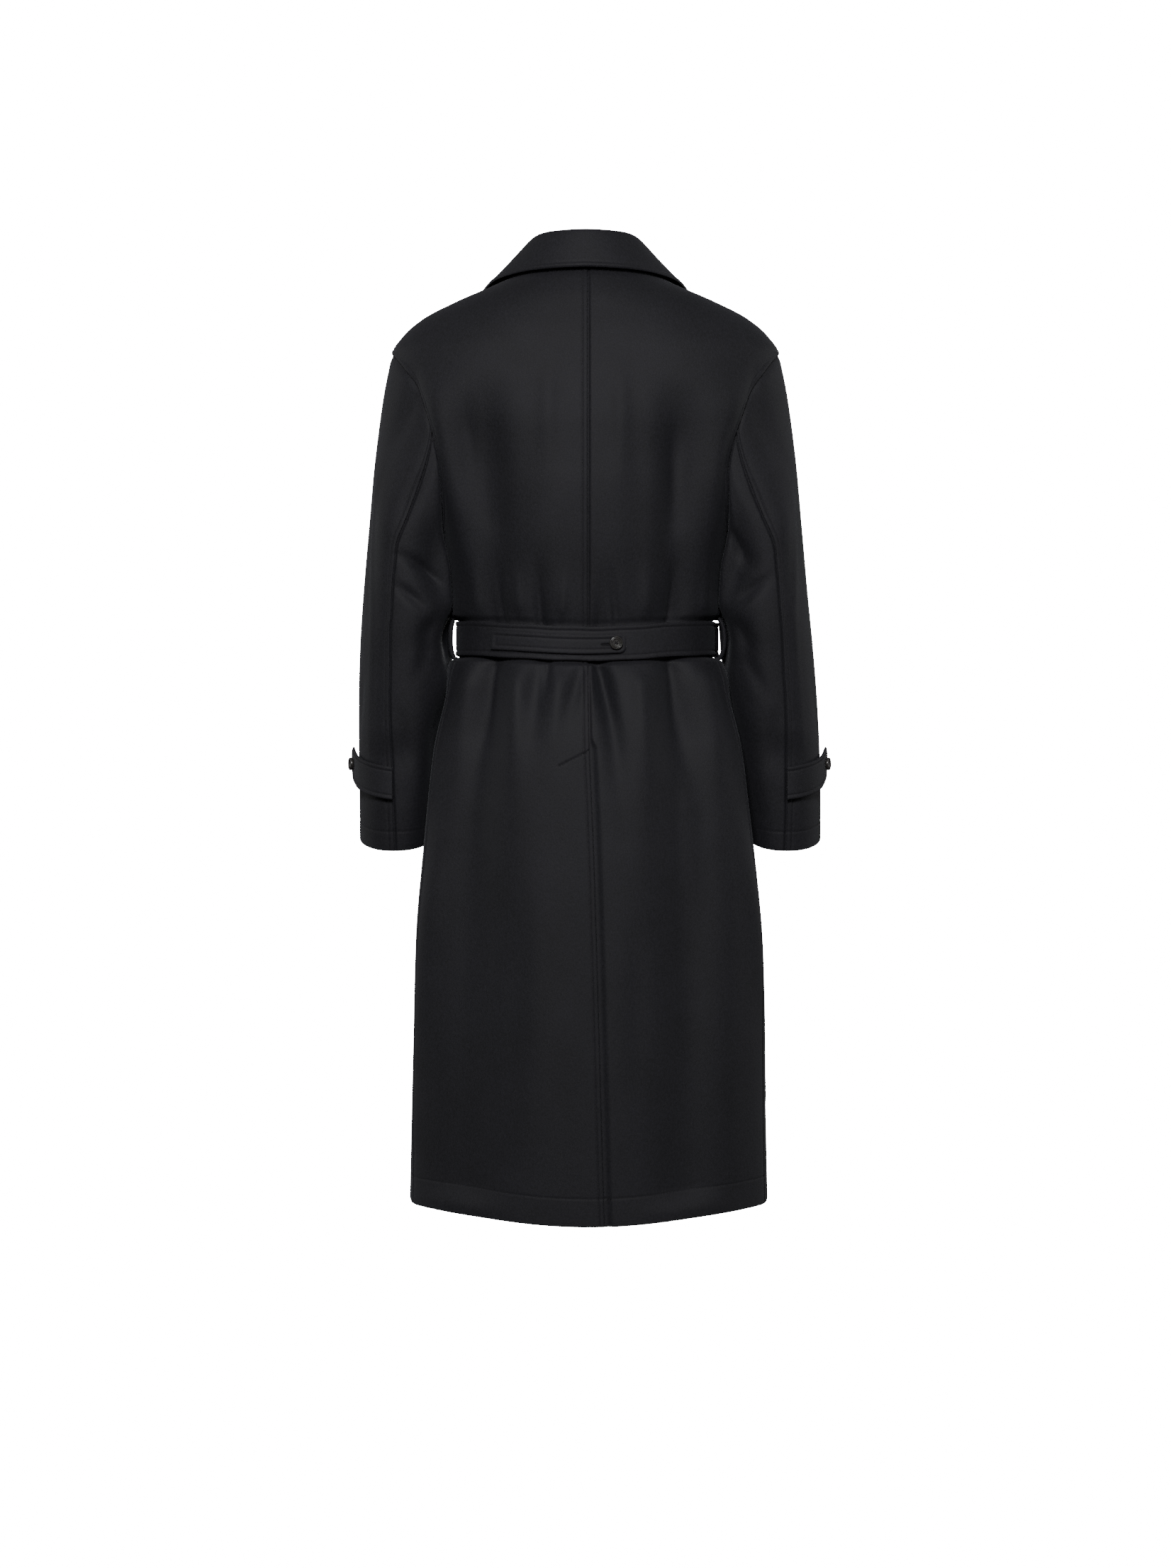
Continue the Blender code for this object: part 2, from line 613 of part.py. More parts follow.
def sleeve_first_row(angle, side):
    """The sleeve's normal and its run away from the armhole seam, in the coat's own coordinates."""
    step = 0.004
    small = 1e-3
    seam = np.zeros_like(angle)
    run = sleeve(angle, seam + step, side) - sleeve(angle, seam, side)
    round_seam = sleeve(angle + small, seam, side) - sleeve(angle - small, seam, side)
    mirror = np.array([side, 1.0, 1.0])
    return {"along": unit(run) * mirror, "normal": unit(np.cross(run, round_seam)) * mirror}


def sleeve_shares():
    """Rows of a sleeve, closer together at the cap and the elbow."""
    return np.concatenate([CAP_ROWS, np.linspace(ARM_ROWS_FROM, ARM_ROWS_TO, ARM_ROWS), [1.0]])


def add_sleeve_piece(name, side, columns, under, finish):
    """The top sleeve or the under sleeve, between the back seam and the front seam."""
    share = sleeve_shares()[:, None]
    seam_height = SHOULDER + (CUFF - SHOULDER) * share
    back = np.radians(read_column(SLEEVE_SEAMS, "back", seam_height))
    front = np.radians(read_column(SLEEVE_SEAMS, "front", seam_height))
    gap = SEAM_GAP / 2 / SLEEVE_RADIUS
    first, last = (back + gap, front + 2 * math.pi - gap) if under else (front + gap, back - gap)
    angle = first + (last - first) * np.linspace(0, 1, columns)[None, :]
    share = share + 0 * angle

    def face(angle, share):
        return sleeve(angle, share, side)

    outer = face(angle, share)
    inward = normals(face, angle, share)
    mirror = np.array([side, 1.0, 1.0])
    at_seam = (angle[0] + math.pi) % (2 * math.pi) - math.pi
    first_row = sleeve_first_row(at_seam, side)
    inward[0] = armhole_normals(at_seam, side, first_row)[1] * mirror
    inner = outer - WALL * inward
    away = first_row["along"] * mirror
    away = unit(away - np.sum(away * inward[0], axis=-1, keepdims=True) * inward[0]) * 2 * SEAM_GAP
    outer[0] += away
    inner[0] += away
    return add_wall(name, outer * mirror, inner * mirror, finish)


# Collar and lapels

def collar(station, across):
    """The collar's hidden face: across runs from the neck seam up the stand and down the fall."""
    away = np.abs(station)
    side = np.where(station < 0, -1.0, 1.0)

    def column(name):
        return read_column(COLLAR_SECTIONS, name, away, key="station")

    base_height = column("base_height")
    clear = COLLAR_FROM_ROLL / read_column(BODY_SECTIONS, "half_width", base_height)
    on_roll = roll_turn(base_height) + clear
    base_turn = np.minimum(np.radians(column("base_turn")), on_roll)
    base = body(side * base_turn, base_height)
    edge = body(side * np.radians(column("edge_turn")), column("edge_height"), column("edge_lift"))
    to_middle = np.stack([-base[..., 0], -base[..., 1], 0 * base[..., 2]], axis=-1)
    fold = base + unit(to_middle) * column("fold_lean")[..., None]
    fold[..., 2] = column("fold_height")
    start = ((1 - across) ** 2)[..., None]
    over = (2 * COLLAR_FOLD_WEIGHT * across * (1 - across))[..., None]
    end = (across ** 2)[..., None]
    return (base * start + fold * over + edge * end) / (start + over + end)


def add_collar(columns, rows, finish):
    station = np.linspace(-1, 1, columns)[None, :]
    across = np.linspace(0, 1, rows)[:, None]
    station, across = np.broadcast_arrays(station, across)
    hidden = collar(station, across)
    inward = normals(collar, station, across)
    return add_wall("collar", hidden - DOUBLE_WALL * inward, hidden, finish)


def lapel_grid(rows, columns):
    """Turns, heights and shares across of a left lapel, from its fold out to its free edge."""
    up = np.linspace(LAPEL_FOOT, 1, rows)[:, None]
    across = np.linspace(LAPEL_CLEAR, 1, columns)[None, :]
    fold_height = LAPEL_BREAK + (LAPEL_TOP - LAPEL_BREAK) * up
    reach = LAPEL_WIDTH * up ** LAPEL_SPREAD * across
    height = fold_height + LAPEL_SLOPE * up ** 3 * reach
    fold_x = ring(roll_turn(fold_height), fold_height)[0]
    turn = turn_at_width(fold_x + reach, height, front=True) % (2 * math.pi)
    return turn, height, across + 0 * up, up


def add_lapel(name, side, lift, finish):
    turn, height, across, up = lapel_grid(rows=13, columns=7)
    seat = lift(side * turn, height) + LAPEL_GAP + LAPEL_ROLL * up ** 3 * np.sin(math.pi * across)

    def face(turn, height):
        return body(turn, height, seat)

    hidden = face(side * turn, height)
    outward = normals(face, side * turn, height)
    return add_wall(name, hidden + WALL * outward, hidden, finish)


# Belt, strap and loops

def belt_height(turn):
    """The belt's middle line, a little lower at the back and the front than at the sides."""
    return BELT_HEIGHT - BELT_DIP * np.cos(turn) ** 2


def waist(turn, lift):
    """A point on the plain waist section at the belt's middle, moved out by lift."""
    small = 1e-4
    x, y = ring(turn, BELT_HEIGHT)
    x_on, y_on = ring(turn + small, BELT_HEIGHT)
    length = np.hypot(x_on - x, y_on - y)
    return x - lift * (y_on - y) / length, y + lift * (x_on - x) / length


def band(turn, rise, lift):
    """A point of an upright band round the waist."""
    x, y = waist(turn, lift)
    return np.stack(np.broadcast_arrays(x - sway(BELT_HEIGHT), y, belt_height(turn) + rise), axis=-1)


def add_belt(columns, finish):
    """One strip round the waist whose end laps over its start at the front."""
    turn = np.radians(np.linspace(BELT_LAP_FROM - 360, BELT_LAP_TO, columns))[None, :]
    lapped = ease((np.degrees(turn) - BELT_LAP_RAMP_FROM) / BELT_LAP_RAMP)
    seat = front_stack(turn) + (BELT_THICK + LAY_GAP) * lapped
    rise = BELT_WIDTH / 2 * np.array([[1.0], [0.0], [-1.0]])
    inner = band(turn, rise, seat)
    outer = band(turn, rise, seat + BELT_THICK)
    return add_wall("belt", outer, inner, finish)


def front_stack(turn):
    """How far the belt stands off the waist section: more where the fronts lap."""
    return 2 * LAY_GAP + np.maximum(lap_lift(turn, np.full_like(turn, BELT_HEIGHT)), 0)


def add_strap(finish):
    """The narrow buttoned strap on the back of the belt, with a rounded free end."""
    turn_from = turn_at_width(STRAP_FROM, BELT_HEIGHT, front=False)
    turn_to = turn_at_width(STRAP_TO, BELT_HEIGHT, front=False)
    length = STRAP_FROM - STRAP_TO
    straight = np.linspace(0, length - 1.5 * STRAP_CORNER, 13)
    rounded = length - STRAP_CORNER * np.array([1.0, 0.3, 0.0])
    along = np.concatenate([straight, rounded])[None, :]
    turn = turn_from + (turn_to - turn_from) * along / length
    into_corner = np.maximum(STRAP_CORNER - (length - along), 0)
    cut = STRAP_CORNER - np.sqrt(STRAP_CORNER ** 2 - into_corner ** 2)
    rise = (STRAP_WIDTH / 2 - cut) * np.array([[1.0], [0.0], [-1.0]]) - STRAP_DROP
    seat = 2 * LAY_GAP + BELT_THICK + LAY_GAP
    inner = band(turn, rise, seat)
    outer = band(turn, rise, seat + WALL)
    return add_wall("belt_strap", outer, inner, finish)


def add_loop(name, side, finish):
    """A cloth loop at the side that the belt runs through, sewn to the coat above and below it."""
    climb = np.linspace(-math.pi / 2, math.pi / 2, 13)[:, None]
    across = LOOP_WIDTH / 2 * np.array([[-1.0, 0.0, 1.0]])
    height = BELT_HEIGHT + LOOP_REACH * np.sin(climb)
    turn = side * LOOP_TURN + across / read_column(BODY_SECTIONS, "half_width", BELT_HEIGHT)
    bulge = LOOP_STAND_OFF * np.maximum(np.cos(climb), 0) ** LOOP_ROUNDNESS
    hidden = body(turn + 0 * height, height + 0 * turn, 3 * LAY_GAP + bulge)
    out = np.array([side, 0.0, 0.0])
    up = np.array([0.0, 0.0, 1.0])
    direction = unit((np.cos(climb) + LOOP_SPREAD)[..., None] * out + (np.sin(climb) ** 3)[..., None] * up)
    return add_wall(name, hidden + WALL * direction, hidden, finish)


# Sleeve tabs

def tab_path(run, lift, side):
    """Middle line of a left tab: round the sleeve from its back seam, then straight on and free."""
    small = 1e-3
    seam = math.radians(read_column(SLEEVE_SEAMS, "back", TAB_HEIGHT))
    leaves = math.radians(TAB_LEAVES)
    angle = seam + (leaves - seam) * np.minimum(run, 1)
    height = TAB_HEIGHT + TAB_RISE * run / 2
    on = tube(angle, height, side)
    forward = unit(tube(angle - small, height, side) - on)
    outward = unit(np.stack([-forward[..., 1], forward[..., 0], 0 * run], axis=-1))
    free = np.maximum(run - 1, 0)[..., None]
    closing = TAB_FREE_CURVE * free ** 2
    return on + forward * free * TAB_FREE_LENGTH + outward * (lift[..., None] - closing)


def add_tab(name, side, finish):
    """A pointed tab held in the back seam of the sleeve and buttoned near its free end."""
    run = np.array(TAB_RUNS)[None, :]
    to_tip = np.clip((2 - run) * TAB_FREE_LENGTH / TAB_POINT, 0.0, 1.0)
    half = TAB_WIDTH / 2 * (TAB_TIP_SHARE + (1 - TAB_TIP_SHARE) * to_tip)
    rise = half * np.array([[1.0], [0.0], [-1.0]])
    run = run + 0 * rise
    seat = TAB_GAP * np.ones_like(run)
    inner = tab_path(run, seat, side)
    outer = tab_path(run, seat + DOUBLE_WALL, side)
    inner[..., 2] += rise
    outer[..., 2] += rise
    mirror = np.array([side, 1.0, 1.0])
    return add_wall(name, outer * mirror, inner * mirror, finish)


# Pocket welts

def add_welt(name, side, lift, finish):
    """A slanted welt on the front, made from the front's own points and moved out."""
    down = np.linspace(0, 1, 9)[:, None]
    across = np.linspace(0, 1, 4)[None, :]
    height = WELT_TOP - WELT_LENGTH * down + 0 * across
    slant = np.radians(WELT_TURN_TOP + (WELT_TURN_FOOT - WELT_TURN_TOP) * down)
    turn = slant + across * WELT_WIDTH / read_column(BODY_SECTIONS, "half_width", WELT_TOP)
    seat = lift(side * turn, height) + 4 * LAY_GAP

    def face(turn, height):
        return body(turn, height, seat)

    hidden = face(side * turn, height)
    outward = normals(face, side * turn, height)
    return add_wall(name, hidden + WALL * outward, hidden, finish)


# Buttons

def add_button(name, diameter, seat, outward, finish):
    """A turned button with a raised rim, its flat back on the cloth at seat."""
    radius = diameter / 2
    profile = bpy.data.meshes.new(name)
    points = [(radius * point.across, 0.0, BUTTON_THICK * point.up) for point in BUTTON_PROFILE]
    profile.from_pydata(points, [(i, i + 1) for i in range(len(points) - 1)], [])
    made = add_object(name, profile, finish)
    turned = made.modifiers.new("turned", "SCREW")
    turned.steps = turned.render_steps = BUTTON_STEPS
    turned.use_merge_vertices = True
    turned.merge_threshold = 0.00005
    turned.use_smooth_shade = True
    direction = unit(np.asarray(outward, float))
    made.rotation_mode = "QUATERNION"
    axis = np.cross([0, 0, 1.0], direction)
    turned_by = math.acos(max(-1.0, min(1.0, float(direction[2]))))
    length = np.linalg.norm(axis)
    axis = axis / length if length > 1e-9 else np.array([1.0, 0, 0])
    made.rotation_quaternion = (math.cos(turned_by / 2), *(axis * math.sin(turned_by / 2)))
    made.location = np.asarray(seat, float)
    return made


def front_button_seat(x, height):
    """Where a front button sits on the left front: its point and its outward direction."""
    turn = np.array(turn_at_width(x, height, front=True) % (2 * math.pi))

    def face(turn, height):
        return body(turn, height, lap_lift(turn, height))

    height = np.array(height)
    normal = normals(face, turn, height)
    return face(turn, height) + normal * FRONT_BUTTON_GAP, normal


def belt_button_seat(x, front, lift):
    """Where a button sits on the belt's outer face."""
    turn = np.array(turn_at_width(x, BELT_HEIGHT, front=front))
    turn = turn % (2 * math.pi) if front else turn
    small = 1e-3
    here = band(turn, 0.0, lift)
    along = band(turn + small, 0.0, lift) - band(turn - small, 0.0, lift)
    return here, np.array([-along[1], along[0], 0.0])


# Assembly

for old in list(bpy.data.objects):
    bpy.data.objects.remove(old)
coat = bpy.data.collections.new("double_breasted_coat")
bpy.context.scene.collection.children.link(coat)

wool = material("black_wool", BLACK_WOOL, 0.9)
horn = material("black_horn", BLACK_HORN, 0.3)

LEFT, RIGHT = 1, -1
add_panel("back_left", LEFT, back=True, columns=14, lift=under_lift, finish=wool)
add_panel("back_right", RIGHT, back=True, columns=15, lift=vent_lift, finish=wool)
add_panel("front_left", LEFT, back=False, columns=13, lift=lap_lift, finish=wool)
add_panel("front_right", RIGHT, back=False, columns=12, lift=under_lift, finish=wool)
for side, word in ((LEFT, "left"), (RIGHT, "right")):
    add_sleeve_piece(f"sleeve_{word}_top", side, columns=16, under=False, finish=wool)
    add_sleeve_piece(f"sleeve_{word}_under", side, columns=10, under=True, finish=wool)
    add_tab(f"sleeve_tab_{word}", side, wool)
    add_loop(f"belt_loop_{word}", side, wool)
    front_lift = lap_lift if side == LEFT else under_lift
    add_lapel(f"lapel_{word}", side, front_lift, wool)
    add_welt(f"pocket_welt_{word}", side, front_lift, wool)
    seat = tab_path(np.array([TAB_BUTTON]), np.array([TAB_GAP + DOUBLE_WALL + 2 * LAY_GAP]), side)[0]
    beyond = tab_path(np.array([TAB_BUTTON]), np.array([TAB_GAP + 10 * WALL]), side)[0]
    mirror = np.array([side, 1.0, 1.0])
    add_button(f"button_tab_{word}", SMALL_BUTTON, seat * mirror, (beyond - seat) * mirror, horn)
add_collar(columns=29, rows=9, finish=wool)
add_belt(columns=52, finish=wool)
add_strap(wool)
on_strap = 4 * LAY_GAP + BELT_THICK + WALL
add_button("button_belt_back", SMALL_BUTTON, *belt_button_seat(BELT_BUTTON_BACK, False, on_strap), horn)
on_lap = 4 * LAY_GAP + 2 * BELT_THICK + LAYER
add_button("button_belt_front", SMALL_BUTTON, *belt_button_seat(BELT_BUTTON_FRONT, True, on_lap), horn)
for row, height in enumerate(BUTTON_ROWS, 1):
    for side, word in ((LEFT, "left"), (RIGHT, "right")):
        place, outward = front_button_seat(side * BUTTON_COLUMN, height)
        add_button(f"button_front_{row}_{word}", LARGE_BUTTON, place, outward, horn)
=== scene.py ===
"""Looks of a long double-breasted coat of black wool, in its worn, hollow form.

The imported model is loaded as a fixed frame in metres: +Z up, the front towards -Y, the wearer's
left towards +X. Each piece is made again as a fine mesh on the form of its solid and stands for that
solid. The cloth ones are thin shells, with their creases, rolled edges and sewing.
Angles called "turn" run round the body: 0 at the centre back, positive on the wearer's left.
"""

import math
from collections import namedtuple
from functools import partial

import bpy
import numpy as np
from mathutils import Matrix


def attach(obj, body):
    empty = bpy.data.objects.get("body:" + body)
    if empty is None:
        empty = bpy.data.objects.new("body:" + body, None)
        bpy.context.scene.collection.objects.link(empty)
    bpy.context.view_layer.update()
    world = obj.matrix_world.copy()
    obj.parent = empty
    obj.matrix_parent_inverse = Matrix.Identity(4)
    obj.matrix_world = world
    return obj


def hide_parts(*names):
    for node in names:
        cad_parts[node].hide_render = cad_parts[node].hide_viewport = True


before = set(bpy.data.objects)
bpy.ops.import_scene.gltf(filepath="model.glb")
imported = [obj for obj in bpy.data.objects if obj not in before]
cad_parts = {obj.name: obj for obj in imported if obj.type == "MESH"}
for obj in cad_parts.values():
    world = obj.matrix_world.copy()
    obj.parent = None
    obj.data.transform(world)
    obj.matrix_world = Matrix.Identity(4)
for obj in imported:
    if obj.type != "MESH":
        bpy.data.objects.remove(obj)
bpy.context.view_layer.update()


# Back panels: two lengths of milled black wool, joined by a seam down the centre back whose
# turnings are pressed to the left and topstitched. Below the vent's top the left panel laps over
# the right one. They hang from the shoulder seams and are gathered in by the belt.

WALL = 0.0025
SEAM_GAP = 0.0003
LAYER = WALL + 0.0016
NECK = 0.012
SHOULDER = -0.098
UNDERARM = -0.330
HEM = -1.190
HEM_DIP_BACK = 0.021
HEM_DIP_START = -0.80
BELT_HEIGHT = -0.467
BELT_DIP = 0.010
BELT_DIP_SPREAD = 0.08
SWAY = 0.0042
SWAY_FROM = -0.40
SWAY_TO = -0.80

# Horizontal sections of the body, from the neck seam to the hem
BodySection = namedtuple("BodySection", "height half_width back_depth front_depth squareness")
BODY_SECTIONS = [
    BodySection(0.016, 0.068, 0.070, 0.058, 2.0),
    BodySection(0.012, 0.076, 0.074, 0.062, 2.0),
    BodySection(-0.009, 0.119, 0.091, 0.078, 2.0),
    BodySection(-0.031, 0.170, 0.104, 0.089, 2.0),
    BodySection(-0.053, 0.212, 0.112, 0.097, 2.05),
    BodySection(-0.075, 0.237, 0.119, 0.104, 2.15),
    BodySection(-0.098, 0.251, 0.124, 0.110, 2.3),
    BodySection(-0.150, 0.245, 0.132, 0.122, 2.5),
    BodySection(-0.200, 0.223, 0.136, 0.130, 2.7),
    BodySection(-0.260, 0.203, 0.136, 0.132, 2.7),
    BodySection(-0.330, 0.188, 0.131, 0.128, 2.5),
    BodySection(-0.385, 0.179, 0.122, 0.121, 2.35),
    BodySection(-0.436, 0.170, 0.1118, 0.114, 2.25),
    BodySection(-0.4445, 0.1638, 0.109, 0.109, 2.2),
    BodySection(-0.4900, 0.1638, 0.109, 0.109, 2.2),
    BodySection(-0.4970, 0.174, 0.117, 0.115, 2.25),
    BodySection(-0.540, 0.187, 0.131, 0.124, 2.35),
    BodySection(-0.610, 0.200, 0.146, 0.134, 2.4),
    BodySection(-0.740, 0.2135, 0.157, 0.144, 2.45),
    BodySection(-0.850, 0.2230, 0.163, 0.150, 2.45),
    BodySection(-1.000, 0.2275, 0.169, 0.155, 2.45),
    BodySection(-1.230, 0.2325, 0.176, 0.162, 2.45),
]

# Folds and creases, in degrees of turn: each runs down from top to foot, is strongest at peak,
# and keeps the share "kept" of its rise at its foot. A negative rise is a trough. A fold with a
# steep of other than 1 is that much narrower or wider on the side that faces the centre back.
FOLD_END = 0.03
Fold = namedtuple("Fold", "turn_top turn_foot top peak foot width rise kept steep", defaults=[1.0])
BODY_FOLDS = [
    # drape of the back over the armholes
    Fold(60, 63, -0.10, -0.24, -0.42, 8, 0.0080, 0.0),
    Fold(-59, -62, -0.10, -0.25, -0.42, 8, 0.0080, 0.0),
    Fold(73, 67, -0.100, -0.165, -0.235, 2.4, -0.0068, 0.3),
    Fold(-72, -66, -0.105, -0.170, -0.245, 2.4, -0.0066, 0.3),
    Fold(64, 60, -0.115, -0.190, -0.300, 3.0, 0.0034, 0.2),
    Fold(-63, -59, -0.115, -0.195, -0.310, 3.0, 0.0036, 0.2),
    # long soft folds of the upper back
    Fold(48, 50, -0.12, -0.22, -0.42, 8, -0.0055, 0.2),
    Fold(30, 36, -0.14, -0.30, -0.44, 8, -0.0040, 0.4),
    Fold(-28, -30, -0.14, -0.28, -0.44, 8, -0.0040, 0.4),
    Fold(-47, -50, -0.13, -0.23, -0.42, 8, -0.0055, 0.2),
    Fold(53, 57, -0.14, -0.21, -0.33, 4.5, -0.0062, 0.1, 0.7),
    Fold(45, 47, -0.17, -0.27, -0.39, 4.5, 0.0034, 0.0),
    Fold(45, 47, -0.12, -0.27, -0.43, 11, -0.0190, 0.3, 0.75),
    Fold(20, 19, -0.10, -0.17, -0.30, 4.5, 0.0030, 0.0),
    Fold(-19, -18, -0.10, -0.18, -0.32, 4.5, 0.0032, 0.0),
    Fold(-42, -46.5, -0.12, -0.25, -0.43, 11, -0.0195, 0.3, 0.72),
    Fold(-50, -53, -0.16, -0.25, -0.38, 5.0, 0.0042, 0.0),
    Fold(-61, -64, -0.15, -0.24, -0.34, 4.0, -0.0058, 0.0, 0.7),
    # tucks that the belt gathers at the back, above it
    Fold(52, 58, -0.330, -0.446, -0.474, 6, -0.0110, 0.4),
    Fold(25, 28, -0.340, -0.448, -0.476, 5, -0.0070, 0.4),
    Fold(-12, -9, -0.360, -0.448, -0.476, 5, -0.0050, 0.4),
    Fold(-50, -54, -0.330, -0.446, -0.474, 6, -0.0110, 0.4),
    Fold(57, 62, -0.340, -0.418, -0.446, 3.2, 0.0042, 0.0),
    Fold(48, 51, -0.350, -0.432, -0.456, 2.4, -0.0052, 0.6),
    Fold(38, 40.5, -0.365, -0.420, -0.446, 2.8, 0.0034, 0.0),
    Fold(27, 29.5, -0.355, -0.432, -0.456, 2.2, -0.0046, 0.6),
    Fold(12, 15.5, -0.375, -0.422, -0.446, 3.0, 0.0028, 0.0),
    Fold(-14, -21, -0.365, -0.432, -0.456, 2.6, -0.0048, 0.6),
    Fold(-33, -38, -0.360, -0.420, -0.446, 3.0, 0.0034, 0.0),
    Fold(-48, -53, -0.345, -0.430, -0.456, 2.6, -0.0056, 0.6),
    Fold(-63, -69, -0.345, -0.418, -0.446, 3.2, 0.0040, 0.0),
    # the same tucks below the belt, opening into the skirt
    Fold(55.5, 51, -0.470, -0.512, -0.660, 6, -0.0130, 0.1, 1.6),
    Fold(28, 26, -0.474, -0.514, -0.640, 5, -0.0080, 0.0),
    Fold(-9, -17, -0.474, -0.516, -0.720, 5, -0.0110, 0.1),
    Fold(-51, -46, -0.470, -0.512, -0.660, 6, -0.0130, 0.1, 1.6),
    Fold(54.5, 50, -0.482, -0.503, -0.600, 3.0, -0.0080, 0.1, 2.4),
    Fold(23.5, 21, -0.484, -0.500, -0.552, 2.2, -0.0066, 0.0),
    Fold(-5, -15, -0.482, -0.503, -0.600, 4.2, -0.0085, 0.1),
    Fold(-50, -44, -0.482, -0.503, -0.605, 3.0, -0.0080, 0.1, 2.4),
    Fold(62, 61, -0.494, -0.530, -0.720, 4.5, 0.0056, 0.2),
    Fold(38, 33, -0.494, -0.528, -0.700, 5.0, 0.0072, 0.1),
    Fold(1.5, 12, -0.484, -0.508, -0.590, 4.5, -0.0055, 0.1),
    Fold(15, 17, -0.494, -0.525, -0.640, 5.0, 0.0050, 0.1),
    Fold(-30, -27, -0.494, -0.530, -0.700, 5.0, 0.0066, 0.1),
    Fold(-64, -58, -0.494, -0.530, -0.720, 4.5, 0.0056, 0.2),
    Fold(54, 50, -0.500, -0.600, -1.150, 11, -0.0228, 0.45, 1.25),
    Fold(-49, -39, -0.500, -0.600, -1.150, 11, -0.0228, 0.45, 1.25),
    # broad waves of the skirt, down to the hem
    Fold(44, 42, -0.62, -0.90, -1.23, 13, -0.0065, 0.8),
    Fold(-40, -40, -0.62, -0.90, -1.23, 13, -0.0065, 0.8),
    Fold(75, 70, -0.50, -0.62, -1.23, 7, 0.0080, 0.6),
    Fold(-75, -70, -0.50, -0.62, -1.23, 7, 0.0080, 0.6),
    Fold(65, 72, -0.66, -0.80, -1.10, 4.0, 0.0045, 0.3),
    Fold(-64, -77, -0.62, -0.80, -1.05, 4.0, 0.0045, 0.3),
    Fold(30, 32, -0.74, -0.90, -1.12, 6.0, -0.0040, 0.3),
    Fold(-22, -20, -0.76, -0.92, -1.10, 6.0, -0.0036, 0.2),
    Fold(-47, -45, -0.60, -0.69, -0.90, 5.0, 0.0052, 0.2),
    Fold(-86, -80, -0.494, -0.530, -0.640, 9, 0.0050, 0.2),
    # cloth that hangs over the belt's edges at the sides
    Fold(88, 88, -0.405, -0.4385, -0.4460, 20, 0.0055, 0.0),
    Fold(-88, -88, -0.405, -0.4385, -0.4460, 20, 0.0055, 0.0),
    Fold(88, 88, -0.4885, -0.4965, -0.560, 20, 0.0045, 0.0),
    Fold(-88, -88, -0.4885, -0.4965, -0.560, 20, 0.0045, 0.0),
    # dents where the sleeves lie against the skirt
    Fold(95, 101, -0.48, -0.58, -0.90, 16, -0.0195, 0.0),
    Fold(-95, -101, -0.48, -0.58, -0.90, 16, -0.0195, 0.0),
    # tucks, creases and waves of the front
    Fold(128, 124, -0.350, -0.446, -0.474, 6, -0.0080, 0.4),
    Fold(-128, -124, -0.350, -0.446, -0.474, 6, -0.0080, 0.4),
    Fold(124, 132, -0.470, -0.514, -0.950, 7, -0.0110, 0.3),
    Fold(-124, -132, -0.470, -0.514, -0.950, 7, -0.0110, 0.3),
    Fold(115, 112, -0.16, -0.24, -0.38, 4.0, -0.0022, 0.1),
    Fold(-115, -112, -0.17, -0.25, -0.39, 4.0, -0.0022, 0.1),
    Fold(118, 121, -0.360, -0.430, -0.452, 2.4, -0.0026, 0.6),
    Fold(-119, -123, -0.355, -0.430, -0.452, 2.4, -0.0028, 0.6),
    Fold(121, 127, -0.484, -0.503, -0.620, 2.8, -0.0050, 0.1),
    Fold(-121, -128, -0.484, -0.503, -0.600, 2.8, -0.0050, 0.1),
    Fold(148, 143, -0.330, -0.440, -0.470, 5, -0.0062, 0.4),
    Fold(-146, -141, -0.340, -0.442, -0.470, 5, -0.0068, 0.4),
    Fold(164, 161, -0.370, -0.436, -0.456, 3.0, -0.0036, 0.5),
    Fold(-161, -158, -0.360, -0.436, -0.456, 3.4, -0.0040, 0.5),
    Fold(138, 134, -0.345, -0.420, -0.446, 3.4, 0.0036, 0.0),
    Fold(-136, -133, -0.350, -0.420, -0.446, 3.2, 0.0034, 0.0),
    Fold(146, 142, -0.478, -0.512, -0.700, 5, -0.0080, 0.1),
    Fold(-143, -147, -0.478, -0.514, -0.660, 5, -0.0075, 0.1),
    Fold(163, 166, -0.482, -0.508, -0.600, 3.6, -0.0048, 0.1),
    Fold(-160, -156, -0.482, -0.506, -0.620, 3.8, -0.0052, 0.1),
    Fold(152, 150, -0.60, -0.85, -1.23, 10, -0.0062, 0.7),
    Fold(-150, -147, -0.58, -0.82, -1.23, 10, -0.0066, 0.7),
]


def ease(share):
    """A soft step from 0 to 1: three squares less two cubes."""
    share = np.clip(share, 0.0, 1.0)
    return share * share * (3 - 2 * share)


def unit(vectors):
    """The same vectors at length one."""
    return vectors / np.linalg.norm(vectors, axis=-1, keepdims=True)


def read_column(table, name, at, key="height"):
    """One column of a table at any value of its key, on a cubic through its rows with no overshoot."""
    rows = sorted(table, key=lambda row: getattr(row, key))
    place = np.array([getattr(row, key) for row in rows], float)
    value = np.array([getattr(row, name) for row in rows], float)
    step = np.diff(place)
    rise = np.diff(value) / step
    total = rise[:-1] + rise[1:]
    turning = rise[:-1] * rise[1:] <= 0
    middle = np.where(turning, 0.0, 2 * rise[:-1] * rise[1:] / np.where(turning, 1.0, total))
    slope = np.concatenate([rise[:1], middle, rise[-1:]])
    at = np.clip(np.asarray(at, float), place[0], place[-1])
    i = np.clip(np.searchsorted(place, at) - 1, 0, len(step) - 1)
    f = (at - place[i]) / step[i]
    start = value[i] * (1 + 2 * f) + slope[i] * step[i] * f
    end = value[i + 1] * (3 - 2 * f) - slope[i + 1] * step[i] * (1 - f)
    return start * (1 - f) ** 2 + end * f ** 2


def read_row(table, at, key="height"):
    """Every column of a table but its key, in order, at any value of the key."""
    return [read_column(table, name, at, key) for name in table[0]._fields if name != key]


